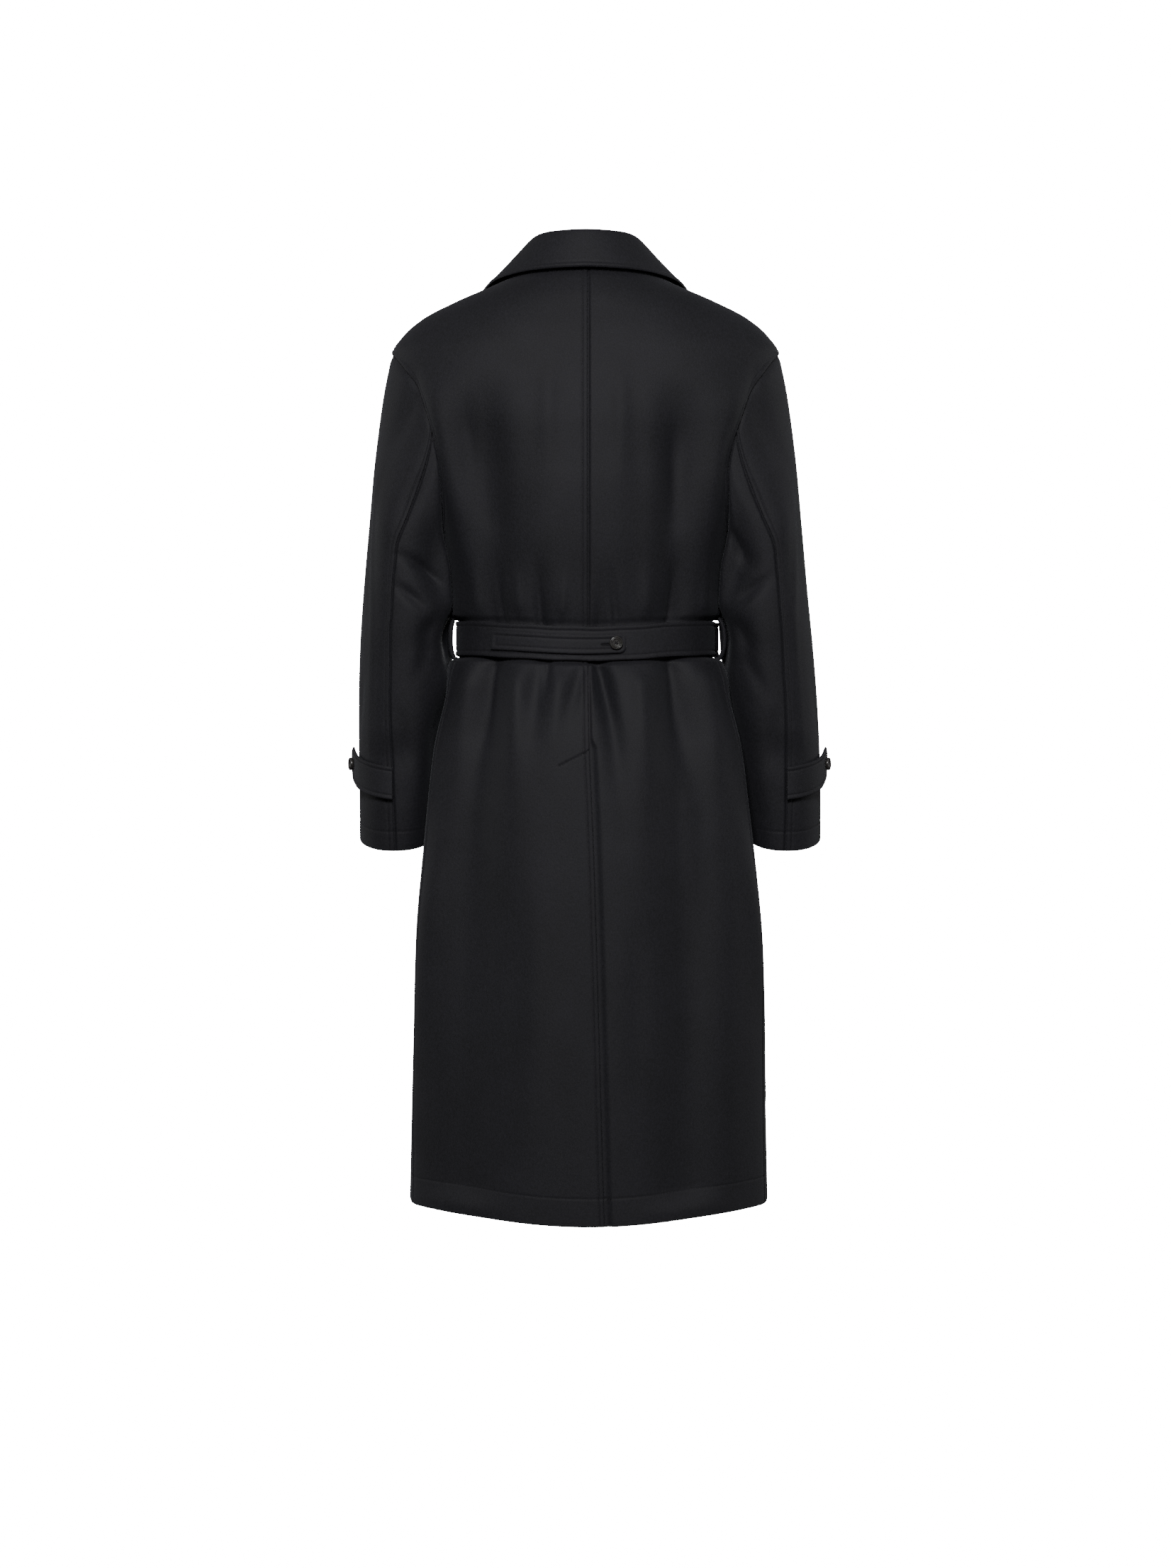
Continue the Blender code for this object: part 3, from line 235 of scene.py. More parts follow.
def fold_rise(folds, turn, height):
    """The sum of all folds: each is a bell curve across, times a soft rise and fall down its length."""
    total = np.zeros(np.broadcast(turn, height).shape)
    for fold in folds:
        along = np.clip((fold.top - height) / (fold.top - fold.foot), 0.0, 1.0)
        centre = np.radians(fold.turn_top + (fold.turn_foot - fold.turn_top) * along)
        grow = ease((fold.top - height) / (fold.top - fold.peak))
        fade = 1 - (1 - fold.kept) * ease((fold.peak - height) / (fold.peak - fold.foot))
        gone = ease((fold.foot - height) / FOLD_END) if fold.foot > HEM else 0.0
        past = (turn - centre + math.pi) % (2 * math.pi) - math.pi
        inner = np.where(past * fold.turn_top < 0, fold.steep, 1.0)
        across = np.exp(-(past / math.radians(fold.width) / inner) ** 2)
        total += fold.rise * grow * fade * (1 - gone) * across
    return total


def ring(turn, height):
    """A point of the plain section: a superellipse with one depth at the back and one at the front."""
    half_width, back, front, power = read_row(BODY_SECTIONS, height)
    depth = np.where(np.cos(turn) > 0, back, front)
    reach = np.abs(np.sin(turn) / half_width) ** power + np.abs(np.cos(turn) / depth) ** power
    radius = reach ** (-1 / power)
    return radius * np.sin(turn), radius * np.cos(turn)


def turn_at_width(x, height, front):
    """The turn at which the section passes a given distance from the middle, at the back or the front."""
    half_width, back, front_depth, power = read_row(BODY_SECTIONS, height)
    depth = front_depth if front else back
    y = depth * np.maximum(1 - np.abs(x / half_width) ** power, 0) ** (1 / power)
    return np.arctan2(x, -y) % (2 * math.pi) if front else np.arctan2(x, y)


def sway(height):
    """How far the coat hangs towards the wearer's right below the waist."""
    return SWAY * ease((SWAY_FROM - height) / (SWAY_FROM - SWAY_TO))


def body(turn, height, lift=0.0):
    """The coat's outer face: the section's point moved out along its normal by the folds and by lift,
    then swayed to the right, and dipped at the waist's back and front and at the back of the hem."""
    small = 1e-4
    x, y = ring(turn, height)
    x_on, y_on = ring(turn + small, height)
    x_before, y_before = ring(turn - small, height)
    length = np.hypot(x_on - x_before, y_on - y_before)
    out = fold_rise(BODY_FOLDS, turn, height) + lift
    x = x - out * (y_on - y_before) / length - sway(height)
    y = y + out * (x_on - x_before) / length
    towards_hem = ease((HEM_DIP_START - height) / (HEM_DIP_START - HEM))
    hem_dip = HEM_DIP_BACK * towards_hem * np.maximum(np.cos(turn), 0) ** 2
    waist_dip = BELT_DIP * np.cos(turn) ** 2 * np.exp(-((height - BELT_HEIGHT) / BELT_DIP_SPREAD) ** 2)
    return np.stack(np.broadcast_arrays(x, y, height - hem_dip - waist_dip), axis=-1)


def paces(face, first, second):
    """How many metres the face moves for each unit of its two parameters."""
    small = 1e-3
    here = face(first, second)
    along_first = np.linalg.norm(face(first + small, second) - here, axis=-1) / small
    along_second = np.linalg.norm(face(first, second + small) - here, axis=-1) / small
    return along_first, along_second


# The armhole is an ellipse in turn and height, with a deeper front half
ARMHOLE_TURN_TOP = math.radians(90)
ARMHOLE_TURN_BOTTOM = math.radians(84)
ARMHOLE_HALF_BACK = math.radians(22)
ARMHOLE_HALF_FRONT = math.radians(26)
ARMHOLE_MIDDLE = (SHOULDER + UNDERARM) / 2
ARMHOLE_HALF_HEIGHT = (SHOULDER - UNDERARM) / 2
SIDE_SEAM_TURN = math.radians(72)
SIDE_SEAM_SETTLES = -0.60


def armhole_centre(height):
    """Turn of the armhole's middle line, which slants a little towards the back as it goes down."""
    share = (SHOULDER - height) / (SHOULDER - UNDERARM)
    return ARMHOLE_TURN_TOP + (ARMHOLE_TURN_BOTTOM - ARMHOLE_TURN_TOP) * np.clip(share, 0, 1)


def armhole_height(angle):
    """Height of the armhole seam at an angle round it, 0 at the top and pi at the underarm."""
    return ARMHOLE_MIDDLE + ARMHOLE_HALF_HEIGHT * np.cos(angle)


def armhole_turn(angle):
    """Turn of the armhole seam at an angle round it; positive angles are its back half."""
    half = np.where(np.sin(angle) >= 0, ARMHOLE_HALF_BACK, ARMHOLE_HALF_FRONT)
    return armhole_centre(armhole_height(angle)) - half * np.sin(angle)


def outer_edge(height, back):
    """Turn of a panel's outer edge: the shoulder seam, then the armhole, then the side seam."""
    cosine = np.clip((height - ARMHOLE_MIDDLE) / ARMHOLE_HALF_HEIGHT, -1, 1)
    beside = armhole_turn(np.arccos(cosine) * (1 if back else -1))
    share = ease((UNDERARM - height) / (UNDERARM - SIDE_SEAM_SETTLES))
    below = ARMHOLE_TURN_BOTTOM + (SIDE_SEAM_TURN - ARMHOLE_TURN_BOTTOM) * share
    return np.where(height > SHOULDER, ARMHOLE_TURN_TOP, np.where(height < UNDERARM, below, beside))


def armhole_slope(turn, height):
    """How far outside the armhole's ellipse a place is, and how fast that grows per metre both ways."""
    half = np.where(turn < armhole_centre(height), ARMHOLE_HALF_BACK, ARMHOLE_HALF_FRONT)
    across = (turn - armhole_centre(height)) / half
    up = (height - ARMHOLE_MIDDLE) / ARMHOLE_HALF_HEIGHT
    reach = np.maximum(np.hypot(across, up), 1e-6)
    turn_pace, height_pace = paces(body, turn, height)
    return reach - 1, across / reach / half / turn_pace, up / reach / ARMHOLE_HALF_HEIGHT / height_pace


def armhole_distance(turn, height):
    """Distance from the armhole seam over the cloth: the ellipse's value divided by its steepness."""
    outside, by_turn, by_height = armhole_slope(turn, height)
    return outside / np.hypot(by_turn, by_height)


# Sewing: a line of topstitching lies in a furrow, with the cloth puffed between it and the seam
TOPSTITCH_IN = 0.007
FURROW = 0.0006
FURROW_WIDTH = 0.0012
PUFF = 0.0006
# A cut edge is rounded on each face by this share of the cloth's wall
EDGE_ROUND = 0.48


def rolled(distance, radius):
    """How far a face drops as the cloth rolls round to its edge: a quarter circle of that radius."""
    inside = np.clip(1 - distance / radius, 0, 1)
    return radius * (1 - np.sqrt(1 - inside ** 2))


def furrow(distance):
    """The narrow trough that a line of stitches pulls into the cloth, a bell curve across the line."""
    return -FURROW * np.exp(-(distance / FURROW_WIDTH) ** 2)


def topstitched(distance, inset=TOPSTITCH_IN):
    """The furrow of a line sewn at inset from an edge, and a half wave of puffed cloth up to that edge."""
    puffed = PUFF * np.sin(math.pi * np.clip(distance / inset, 0, 1))
    return puffed + furrow(distance - inset)


def graded(table):
    """Places from the first to the last of a table, as far apart as the steps that it gives on the way."""
    place, step = np.array(table, float).T
    run = np.abs(place - place[0])
    fine = np.linspace(0, run[-1], 8001)
    count = np.concatenate([[0], np.cumsum(np.diff(fine) / np.interp(fine[1:], run, step))])
    even = np.linspace(0, count[-1], math.ceil(count[-1]) + 1)
    return place[0] + np.sign(place[-1] - place[0]) * np.interp(even, count, fine)


def face_normals(points):
    """Unit normals of a grid of points, from the run of its rows and columns."""
    return unit(np.cross(np.gradient(points, axis=0), np.gradient(points, axis=1)))


def add_mesh(name, points, faces, finish):
    """An object of points and faces, smooth, that moves with the coat."""
    mesh = bpy.data.meshes.new(name)
    mesh.from_pydata(points.reshape(-1, 3).tolist(), [], faces)
    mesh.shade_smooth()
    mesh.materials.append(finish)
    made = bpy.data.objects.new(name, mesh)
    bpy.context.scene.collection.objects.link(made)
    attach(made, "root")
    return made


def add_cloth(name, face, outward, to_edge, wall):
    """A closed thin shell on a grid, in place of the solid of its name: an outer and an inner face, each
    rounded off by its distance to the edge, and a strip that closes them round the rim. The faces are
    turned to the side that outward points to."""
    drop = rolled(to_edge, EDGE_ROUND * wall)
    outer = face - outward * drop[..., None]
    inner = face - outward * (wall - drop)[..., None]
    rows, columns = face.shape[:2]
    index = np.arange(2 * rows * columns).reshape(2, rows, columns)

    def quads(grid):
        """The corners of all the faces between a grid's neighbours."""
        corners = grid[:-1, :-1], grid[1:, :-1], grid[1:, 1:], grid[:-1, 1:]
        return np.stack(corners, axis=-1).reshape(-1, 4)

    sides = index[:, 0, :-1], index[:, :-1, -1], index[:, -1, :0:-1], index[:, :0:-1, 0]
    rim = np.concatenate(sides, axis=1)
    strip = np.stack([rim[0], np.roll(rim[0], -1), np.roll(rim[1], -1), rim[1]], axis=-1)
    faces = np.concatenate([quads(index[0]), quads(index[1])[:, ::-1], strip])
    if np.sum(face_normals(face) * outward) < 0:
        faces = faces[:, ::-1]
    made = add_mesh(name, np.stack([outer, inner]), faces.tolist(), wool)
    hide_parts(name)
    return made


def new_finish(name, look):
    """A material with its shader's even values set, and its node tree."""
    made = bpy.data.materials.new(name)
    made.use_nodes = True
    tree = made.node_tree
    for socket, value in look.items():
        tree.nodes["Principled BSDF"].inputs[socket].default_value = value
    return made, tree


def add_node(tree, kind, output, inputs, **settings):
    """An output of a new node, whose inputs are linked where they are given a socket, and else set."""
    node = tree.nodes.new(kind)
    for name, value in settings.items():
        setattr(node, name, value)
    for name, value in inputs.items():
        if isinstance(value, bpy.types.NodeSocket):
            tree.links.new(value, node.inputs[name])
        else:
            node.inputs[name].default_value = value
    return node.outputs[output]


def add_tint(tree, share, dark, pale):
    """A colour between two others, by a share."""
    inputs = {"Factor": share, "A": dark, "B": pale}
    return add_node(tree, "ShaderNodeMix", "Result", inputs, data_type="RGBA")


def add_share(tree, value, share, base):
    """A share of one value on top of another."""
    inputs = {0: value, 1: share, 2: base}
    return add_node(tree, "ShaderNodeMath", "Value", inputs, operation="MULTIPLY_ADD")


def dress(tree, sources):
    """Links sources to the shader's inputs by name."""
    for socket, source in sources.items():
        tree.links.new(source, tree.nodes["Principled BSDF"].inputs[socket])


# Milled black wool: short felted fibres brushed downwards, so that the nap clouds softly, shows
# a fine grain, and greys a little where it is seen edge-on
WOOL_DARK = (0.0054, 0.0051, 0.0072, 1.0)
WOOL_PALE = (0.0122, 0.0116, 0.0158, 1.0)
WOOL_SHEEN = (0.62, 0.64, 0.70, 1.0)
WOOL_LOOK = {
    "Specular IOR Level": 0.32, "Sheen Weight": 0.06, "Sheen Roughness": 0.45, "Sheen Tint": WOOL_SHEEN,
}
WOOL_GRAIN = {"Scale": 1100.0, "Detail": 3.0, "Roughness": 0.65}
WOOL_NAP = {"Scale": 420.0, "Detail": 4.0, "Roughness": 0.6}
WOOL_CLOUDS = {"Scale": 14.0, "Detail": 4.0, "Roughness": 0.55}
WOOL_BRUSHED = (1.0, 1.0, 0.55)
WOOL_SHADES = {"From Min": 0.78, "From Max": 1.22}
WOOL_DRYNESS = {"To Min": 0.64, "To Max": 0.80}
WOOL_RELIEF = {"Strength": 0.45, "Distance": 0.0007}
GRAIN_SHARE = 0.55
CLOUD_SHARE = 0.45

wool, tree = new_finish("black_wool", WOOL_LOOK)
place = add_node(tree, "ShaderNodeTexCoord", "Object", {})
brushed = add_node(tree, "ShaderNodeMapping", "Vector", {"Vector": place, "Scale": WOOL_BRUSHED})
grain = add_node(tree, "ShaderNodeTexNoise", "Fac", {"Vector": place, **WOOL_GRAIN})
nap = add_node(tree, "ShaderNodeTexNoise", "Fac", {"Vector": brushed, **WOOL_NAP})
cloud = add_node(tree, "ShaderNodeTexNoise", "Fac", {"Vector": place, **WOOL_CLOUDS})
fibres = add_share(tree, grain, GRAIN_SHARE, nap)
mottle = add_share(tree, cloud, CLOUD_SHARE, fibres)
shade = add_node(tree, "ShaderNodeMapRange", "Result", {"Value": mottle, **WOOL_SHADES})
dress(tree, {
    "Base Color": add_tint(tree, shade, WOOL_DARK, WOOL_PALE),
    "Roughness": add_node(tree, "ShaderNodeMapRange", "Result", {"Value": nap, **WOOL_DRYNESS}),
    "Normal": add_node(tree, "ShaderNodeBump", "Normal", {"Height": fibres, **WOOL_RELIEF}),
})

# Black polyester sewing thread: a tight twist, a little smoother than the wool
THREAD_BLACK = (0.0050, 0.0047, 0.0062, 1.0)
THREAD_PALE = (0.0095, 0.0090, 0.0115, 1.0)
THREAD_LOOK = {"Roughness": 0.72, "Specular IOR Level": 0.25}
THREAD_TWIST = {"Scale": 900.0, "Distortion": 1.5}
thread, tree = new_finish("black_thread", THREAD_LOOK)
place = add_node(tree, "ShaderNodeTexCoord", "Object", {})
twist = add_node(tree, "ShaderNodeTexWave", "Fac", {"Vector": place, **THREAD_TWIST})
dress(tree, {"Base Color": add_tint(tree, twist, THREAD_BLACK, THREAD_PALE)})

STITCH_PITCH = 0.0034
STITCH_LENGTH = 0.0028
STITCH_THICK = 0.00050
STITCH_SIDES = 5
# Rings of one stitch: their place along it, their thickness and how far they sink into the cloth
StitchRing = namedtuple("StitchRing", "along thick sunk")
STITCH_RINGS = [
    StitchRing(-0.50, 0.45, 1.1),
    StitchRing(-0.30, 1.0, 0.1),
    StitchRing(0.30, 1.0, 0.1),
    StitchRing(0.50, 0.45, 1.1),
]


def add_stitches(name, centre, along, outward, length, thick):
    """One mesh of many stitches: each a five-sided tube through four rings, with both ends in the cloth."""
    shape = np.array(STITCH_RINGS)
    angle = np.linspace(0, 2 * math.pi, STITCH_SIDES, endpoint=False)
    across = np.cross(along, outward)
    width = thick / 2 * shape[:, 1, None] * np.cos(angle)
    rise = thick / 2 * (shape[:, 1, None] * np.sin(angle) - shape[:, 2, None])
    reach = np.broadcast_to(shape[:, 0, None], width.shape)[None, ..., None]
    length = np.broadcast_to(length, len(centre))[:, None, None, None]
    points = centre[:, None, None] + along[:, None, None] * reach * length
    points = points + across[:, None, None] * width[None, ..., None]
    points = points + outward[:, None, None] * rise[None, ..., None]
    rings, sides = width.shape
    index = np.arange(len(centre) * rings * sides).reshape(len(centre), rings, sides)
    onward = np.roll(index, -1, axis=2)
    corners = index[:, :-1], onward[:, :-1], onward[:, 1:], index[:, 1:]
    tube = np.stack(corners, axis=-1).reshape(-1, 4).tolist()
    ends = np.concatenate([index[:, 0, ::-1], index[:, -1]]).tolist()
    return add_mesh(name, points, tube + ends, thread)


def sew(name, lines):
    """Even stitches along some lines; each line is its points and their outward directions."""
    centres, alongs, outs = [], [], []
    for points, outward in lines:
        run = np.concatenate([[0], np.cumsum(np.linalg.norm(np.diff(points, axis=0), axis=1))])
        at = np.arange(STITCH_PITCH / 2, run[-1], STITCH_PITCH)

        def read(values, shift=0.0):
            """The line's values at every stitch, or a little before or after it."""
            return np.stack([np.interp(at + shift, run, values[:, axis]) for axis in range(3)], axis=-1)

        out = unit(read(outward))
        along = read(points, STITCH_LENGTH / 2) - read(points, -STITCH_LENGTH / 2)
        along = unit(along - out * np.sum(along * out, axis=-1, keepdims=True))
        centres.append(read(points))
        alongs.append(along)
        outs.append(out)
    return add_stitches(name, *map(np.concatenate, (centres, alongs, outs)), STITCH_LENGTH, STITCH_THICK)


def line_on(face, first, second, side=1.0):
    """Points of a face along a line of its two parameters, sunk to a furrow's floor, and the outward
    directions there, from small steps along each parameter."""
    small = 2e-4
    first, second = np.broadcast_arrays(first, second)
    points = face(first, second)
    along_first = face(first + small, second) - face(first - small, second)
    along_second = face(first, second + small) - face(first, second - small)
    outward = unit(np.cross(along_second, along_first)) * side
    return points - outward * FURROW, outward


CENTRE_SEAM = 0.003
VENT_TOP = -0.612
VENT_DRIFT = 0.017
VENT_UNDERLAP = 0.040
VENT_SLANT = 0.026
VENT_EASE = 0.016
VENT_RAMP = 0.012
VENT_CLEAR = 0.002
# The right panel's turnings pass under the left panel above the vent
TURNINGS = 0.009
SEAM_DROP = WALL + 0.0004
SEAM_RAMP = 0.0042
SEAM_CLEAR = 0.0006
# A slanted line of stitches across the left panel holds the vent's top
VENT_FURROW = 0.0013
VENT_STITCH_ACROSS = 0.041
VENT_STITCH_FALL = 0.021
HEM_STITCH_UP = 0.035
HEM_FURROW = 0.0005
# Distances of the close columns from an edge, the share of the way across that they take at most,
# and heights and steps of the rows
NEAR_EDGE = np.array([0, 0.3, 0.8, 1.5, 2.6, 4.0, 5.4, 6.2, 7.0, 7.8, 8.8, 10.5]) / 1000
NEAR_EDGE_SHARE = 0.42
NEAR_VENT = np.arange(0.012, 0.046, 0.0017)
SHOULDER_ROWS = [(NECK, 0.0022), (-0.085, 0.0022), (-0.091, 0.0009), (SHOULDER, 0.0008)]
ARMHOLE_ROWS = 92
SKIRT_ROWS = [
    (UNDERARM, 0.0030), (-0.400, 0.0030), (-0.434, 0.0018), (-0.4445, 0.0014), (-0.448, 0.006),
    (-0.486, 0.006), (-0.490, 0.0012), (-0.506, 0.0018), (-0.598, 0.0034), (-0.606, 0.0010),
    (-0.638, 0.0010), (-0.655, 0.0056), (-1.140, 0.0056), (-1.151, 0.0011), (-1.159, 0.0011),
    (-1.166, 0.004), (-1.182, 0.003), (HEM, 0.0004),
]
BACK_CORE_COLUMNS = 36
UNDERLAP_COLUMNS = 6


def panel_heights():
    """Heights of a panel's rows, with those beside the armhole even in its angle."""
    beside = armhole_height(np.linspace(0, math.pi, ARMHOLE_ROWS))
    return np.concatenate([graded(SHOULDER_ROWS)[:-1], beside[:-1], graded(SKIRT_ROWS)])[:, None]


def vent_edge(height):
    """Distance of the centre seam, and below it of the vent's lapping edge, from the middle."""
    return -CENTRE_SEAM - VENT_DRIFT * np.clip((VENT_TOP - height) / (VENT_TOP - HEM), 0, 1)


def edge_columns(edge, towards, pace):
    """Places close beside an edge, running towards another one and taking only a share of the way."""
    fitted = np.minimum(1, NEAR_EDGE_SHARE * np.abs(towards - edge) * pace / NEAR_EDGE[-1])
    return edge + np.sign(towards - edge) * NEAR_EDGE[None, :] * fitted / pace


def panel_columns(near, outside, pace, core):
    """Columns of a piece: those near its first edge, an even core, and close ones at its outer edge."""
    last = edge_columns(outside, near[:, -1:], pace)[:, ::-1]
    between = np.linspace(0, 1, core + 2)[None, 1:-1]
    return np.concatenate([near, near[:, -1:] + (last[:, :1] - near[:, -1:]) * between, last], axis=1)


def away_from(points, axis_x):
    """Unit normals of a grid, turned away from an upright axis at axis_x."""
    outward = face_normals(points)
    side = np.sum(outward[..., 0] * (points[..., 0] - axis_x) + outward[..., 1] * points[..., 1])
    return outward * np.sign(side)


def vent_stitch_distance(x, height):
    """Distance below or above the slanted line of stitches at the vent's top, far off beyond its ends."""
    past = (x - vent_edge(height)) / VENT_STITCH_ACROSS
    off = height - (VENT_TOP - VENT_STITCH_FALL * past)
    return np.where((past > 0) & (past < 1), off, 1.0)


def hem_furrow(height):
    """The shallow furrow of the hem's stitches, a set way above the hem."""
    return furrow(height - HEM - HEM_STITCH_UP) * HEM_FURROW / FURROW


def left_back(turn, height):
    """The left back panel's face, with its centre seam, armhole, hem and vent sewn."""
    x = ring(turn, height)[0]
    lift = topstitched(x - vent_edge(height)) + topstitched(armhole_distance(turn, height))
    slanted = VENT_FURROW / FURROW * furrow(vent_stitch_distance(x, height))
    return body(turn, height, lift + hem_furrow(height) + slanted)


def right_back(turn, height):
    """The right back panel's face, which dips under the left one at the centre seam and the vent."""
    x = ring(turn, height)[0]
    opened = ease((VENT_TOP + VENT_EASE - height) / VENT_EASE)
    ramp = SEAM_RAMP + (VENT_RAMP - SEAM_RAMP) * opened
    clear = SEAM_CLEAR + (VENT_CLEAR - SEAM_CLEAR) * opened
    depth = SEAM_DROP + (LAYER - SEAM_DROP) * opened
    under = ease((x - vent_edge(height) + ramp) / (ramp - clear))
    lift = topstitched(armhole_distance(-turn, height)) - depth * under
    return body(turn, height, lift + hem_furrow(height))


def add_panel(name, face, near, middle, outside, core):
    """A body panel on a grid of turns and heights, rolled at its middle edge, its outer edge and the hem."""
    height = panel_heights()
    pace = paces(body, outside, height)[0]
    turn = panel_columns(near, outside, pace, core)
    points = face(turn, height)
    beside_armhole = (height < SHOULDER) & (height > UNDERARM)
    to_seam = np.where(beside_armhole, 1.0, np.abs(outside - turn) * pace)
    to_armhole = np.maximum(armhole_distance(np.abs(turn), height), 0)
    to_middle = np.abs(turn - middle) * paces(body, middle, height)[0]
    nearest = np.minimum(np.minimum(to_seam, to_armhole), np.minimum(to_middle, height - HEM))
    return add_cloth(name, points, away_from(points, 0.0), nearest, WALL)


rows = panel_heights()
seam_step = SEAM_GAP / 2 / paces(body, outer_edge(rows, True), rows)[0]
left_x = vent_edge(rows) + SEAM_GAP / 2 + np.concatenate([NEAR_EDGE, NEAR_VENT])[None, :]
left_near = turn_at_width(left_x, rows, front=False)
back_left = add_panel("back_left", left_back, left_near, left_near[:, :1],
                      outer_edge(rows, True) - seam_step, BACK_CORE_COLUMNS)

# The right panel starts under the left one, with its turnings above and the vent's underlap below
underlap = ease((VENT_TOP - rows) / VENT_SLANT)
right_edge = -CENTRE_SEAM + TURNINGS + (VENT_UNDERLAP - TURNINGS) * underlap
right_edge = turn_at_width(right_edge, rows, front=False)
right_x = vent_edge(rows) + SEAM_CLEAR - np.concatenate([NEAR_EDGE, NEAR_VENT[::2]])[None, :]
right_near = turn_at_width(right_x, rows, front=False)
hidden_share = np.linspace(0, 1, UNDERLAP_COLUMNS + 1)[None, :-1]
right_hidden = right_edge + (right_near[:, :1] - right_edge) * hidden_share
right_near = np.concatenate([right_hidden, right_near], axis=1)
back_right = add_panel("back_right", right_back, right_near, right_edge,
                       seam_step - outer_edge(rows, True), BACK_CORE_COLUMNS)

# Their topstitching: the centre seam and vent, the vent's top, both armholes and the hem
BACK_ARMHOLE = np.radians(np.linspace(4, 172, 160))
SEWN_FROM_END = 0.004
SEWN_FROM_EDGE = 0.003


def armhole_line(side, angle, away=TOPSTITCH_IN):
    """Turns and heights of a line round an armhole, moved away from the seam over the body's cloth."""
    turn, height = armhole_turn(angle), armhole_height(angle)
    _, by_turn, by_height = armhole_slope(turn, height)
    turn_pace, height_pace = paces(body, turn, height)
    steep = np.hypot(by_turn, by_height)
    turn = turn + away * by_turn / steep / turn_pace
    return side * turn, height + away * by_height / steep / height_pace


down = np.linspace(SEWN_FROM_END, HEM + SEWN_FROM_END, 700)
seam_turns = turn_at_width(vent_edge(down) + TOPSTITCH_IN, down, front=False)
slanted = np.linspace(0.0, 1.0, 30)
slant_down = VENT_TOP - VENT_STITCH_FALL * slanted
slant_turns = turn_at_width(vent_edge(slant_down) + VENT_STITCH_ACROSS * slanted, slant_down, front=False)
hem_height = np.array(HEM + HEM_STITCH_UP)
hem_side = outer_edge(hem_height, True)
hem_left = turn_at_width(vent_edge(hem_height) + SEWN_FROM_END, hem_height, front=False)
hem_right = turn_at_width(vent_edge(hem_height) - SEWN_FROM_EDGE, hem_height, front=False)
sewing_back_left = sew("sewing_back_left", [
    line_on(body, seam_turns, down),
    line_on(body, slant_turns, slant_down),
    line_on(body, *armhole_line(1, BACK_ARMHOLE)),
    line_on(body, np.linspace(hem_left, hem_side, 300), hem_height),
])
sewing_back_right = sew("sewing_back_right", [
    line_on(body, *armhole_line(-1, BACK_ARMHOLE)),
    line_on(body, np.linspace(hem_right, -hem_side, 300), hem_height),
])


# Fronts: two wool panels cut to lap double-breasted, the left over the right, with topstitched free
# edges. They join the backs at the shoulders, the armholes' feet and the side seams.

OVERLAP = 0.085
OVERLAP_RAMP_FROM = 0.050
OVERLAP_RAMP = 0.030
LAPEL_BREAK = -0.300
ROLL_AT_NECK = 0.074
FOOT_LAYERS = 1.4
FOOT_BELOW = 0.075
FOOT_EASE = 0.050
EDGE_SEWN_BELOW = 0.02
# Their turnings pass under the backs at the shoulders and sides, starting a little off the armholes
TURNED_UNDER = 0.005
TURNED_FROM = 0.015
FRONT_CORE_COLUMNS = 50


def roll_x(height):
    """Distance of the left front's edge from the middle: a slant from the neck down to the lapel's break,
    then straight."""
    share = np.clip((NECK - height) / (NECK - LAPEL_BREAK), 0, 1)
    return ROLL_AT_NECK - (ROLL_AT_NECK + OVERLAP) * share


def free_edge(height):
    """Turn of the left front's free edge."""
    return turn_at_width(roll_x(height), height, front=True)


def lap_lift(turn, height):
    """How far the left front stands off: a layer where it laps, and more over the right lapel's foot."""
    layers = 1 + FOOT_LAYERS * ease((height - LAPEL_BREAK + FOOT_BELOW) / FOOT_EASE)
    lapped = ease((OVERLAP_RAMP_FROM - roll_x(height) - ring(turn, height)[0]) / OVERLAP_RAMP)
    return LAYER * layers * lapped * (np.cos(turn) < 0)


def off_armhole(height):
    """A soft step from 0 beside the armhole to 1 along the shoulder and side seams."""
    return ease((height - SHOULDER) / TURNED_FROM) + ease((UNDERARM - height) / TURNED_FROM)


def front_sewing(turn, height):
    """Relief of a left front's sewing: its free edge below the break, its armhole and its hem, and the drop
    of its turnings below the back."""
    to_edge = np.abs(free_edge(height) - turn) * paces(body, free_edge(height), height)[0]
    sewn = ease((LAPEL_BREAK - height) / EDGE_SEWN_BELOW)
    past_seam = (turn - outer_edge(height, False)) * paces(body, outer_edge(height, False), height)[0]
    tucked = off_armhole(height) * ease((SEAM_RAMP - past_seam) / (SEAM_RAMP - SEAM_CLEAR))
    lines = topstitched(to_edge) * sewn + topstitched(armhole_distance(turn, height)) + hem_furrow(height)
    return lines - SEAM_DROP * tucked


def left_front(turn, height):
    """The left front's face, lifted over the right one."""
    return body(turn, height, lap_lift(turn, height) + front_sewing(turn, height))


def right_front(turn, height):
    """The right front's face, on the body's own surface."""
    return body(turn, height, front_sewing(-turn, height))


front_lap = TURNED_UNDER * off_armhole(rows) / paces(body, outer_edge(rows, False), rows)[0]
front_outside = outer_edge(rows, False) + seam_step - front_lap
front_near = edge_columns(free_edge(rows), front_outside, paces(body, free_edge(rows), rows)[0])
front_left = add_panel("front_left", left_front, front_near, free_edge(rows), front_outside,
                       FRONT_CORE_COLUMNS)
front_right = add_panel("front_right", right_front, -front_near, -free_edge(rows), -front_outside,
                        FRONT_CORE_COLUMNS)

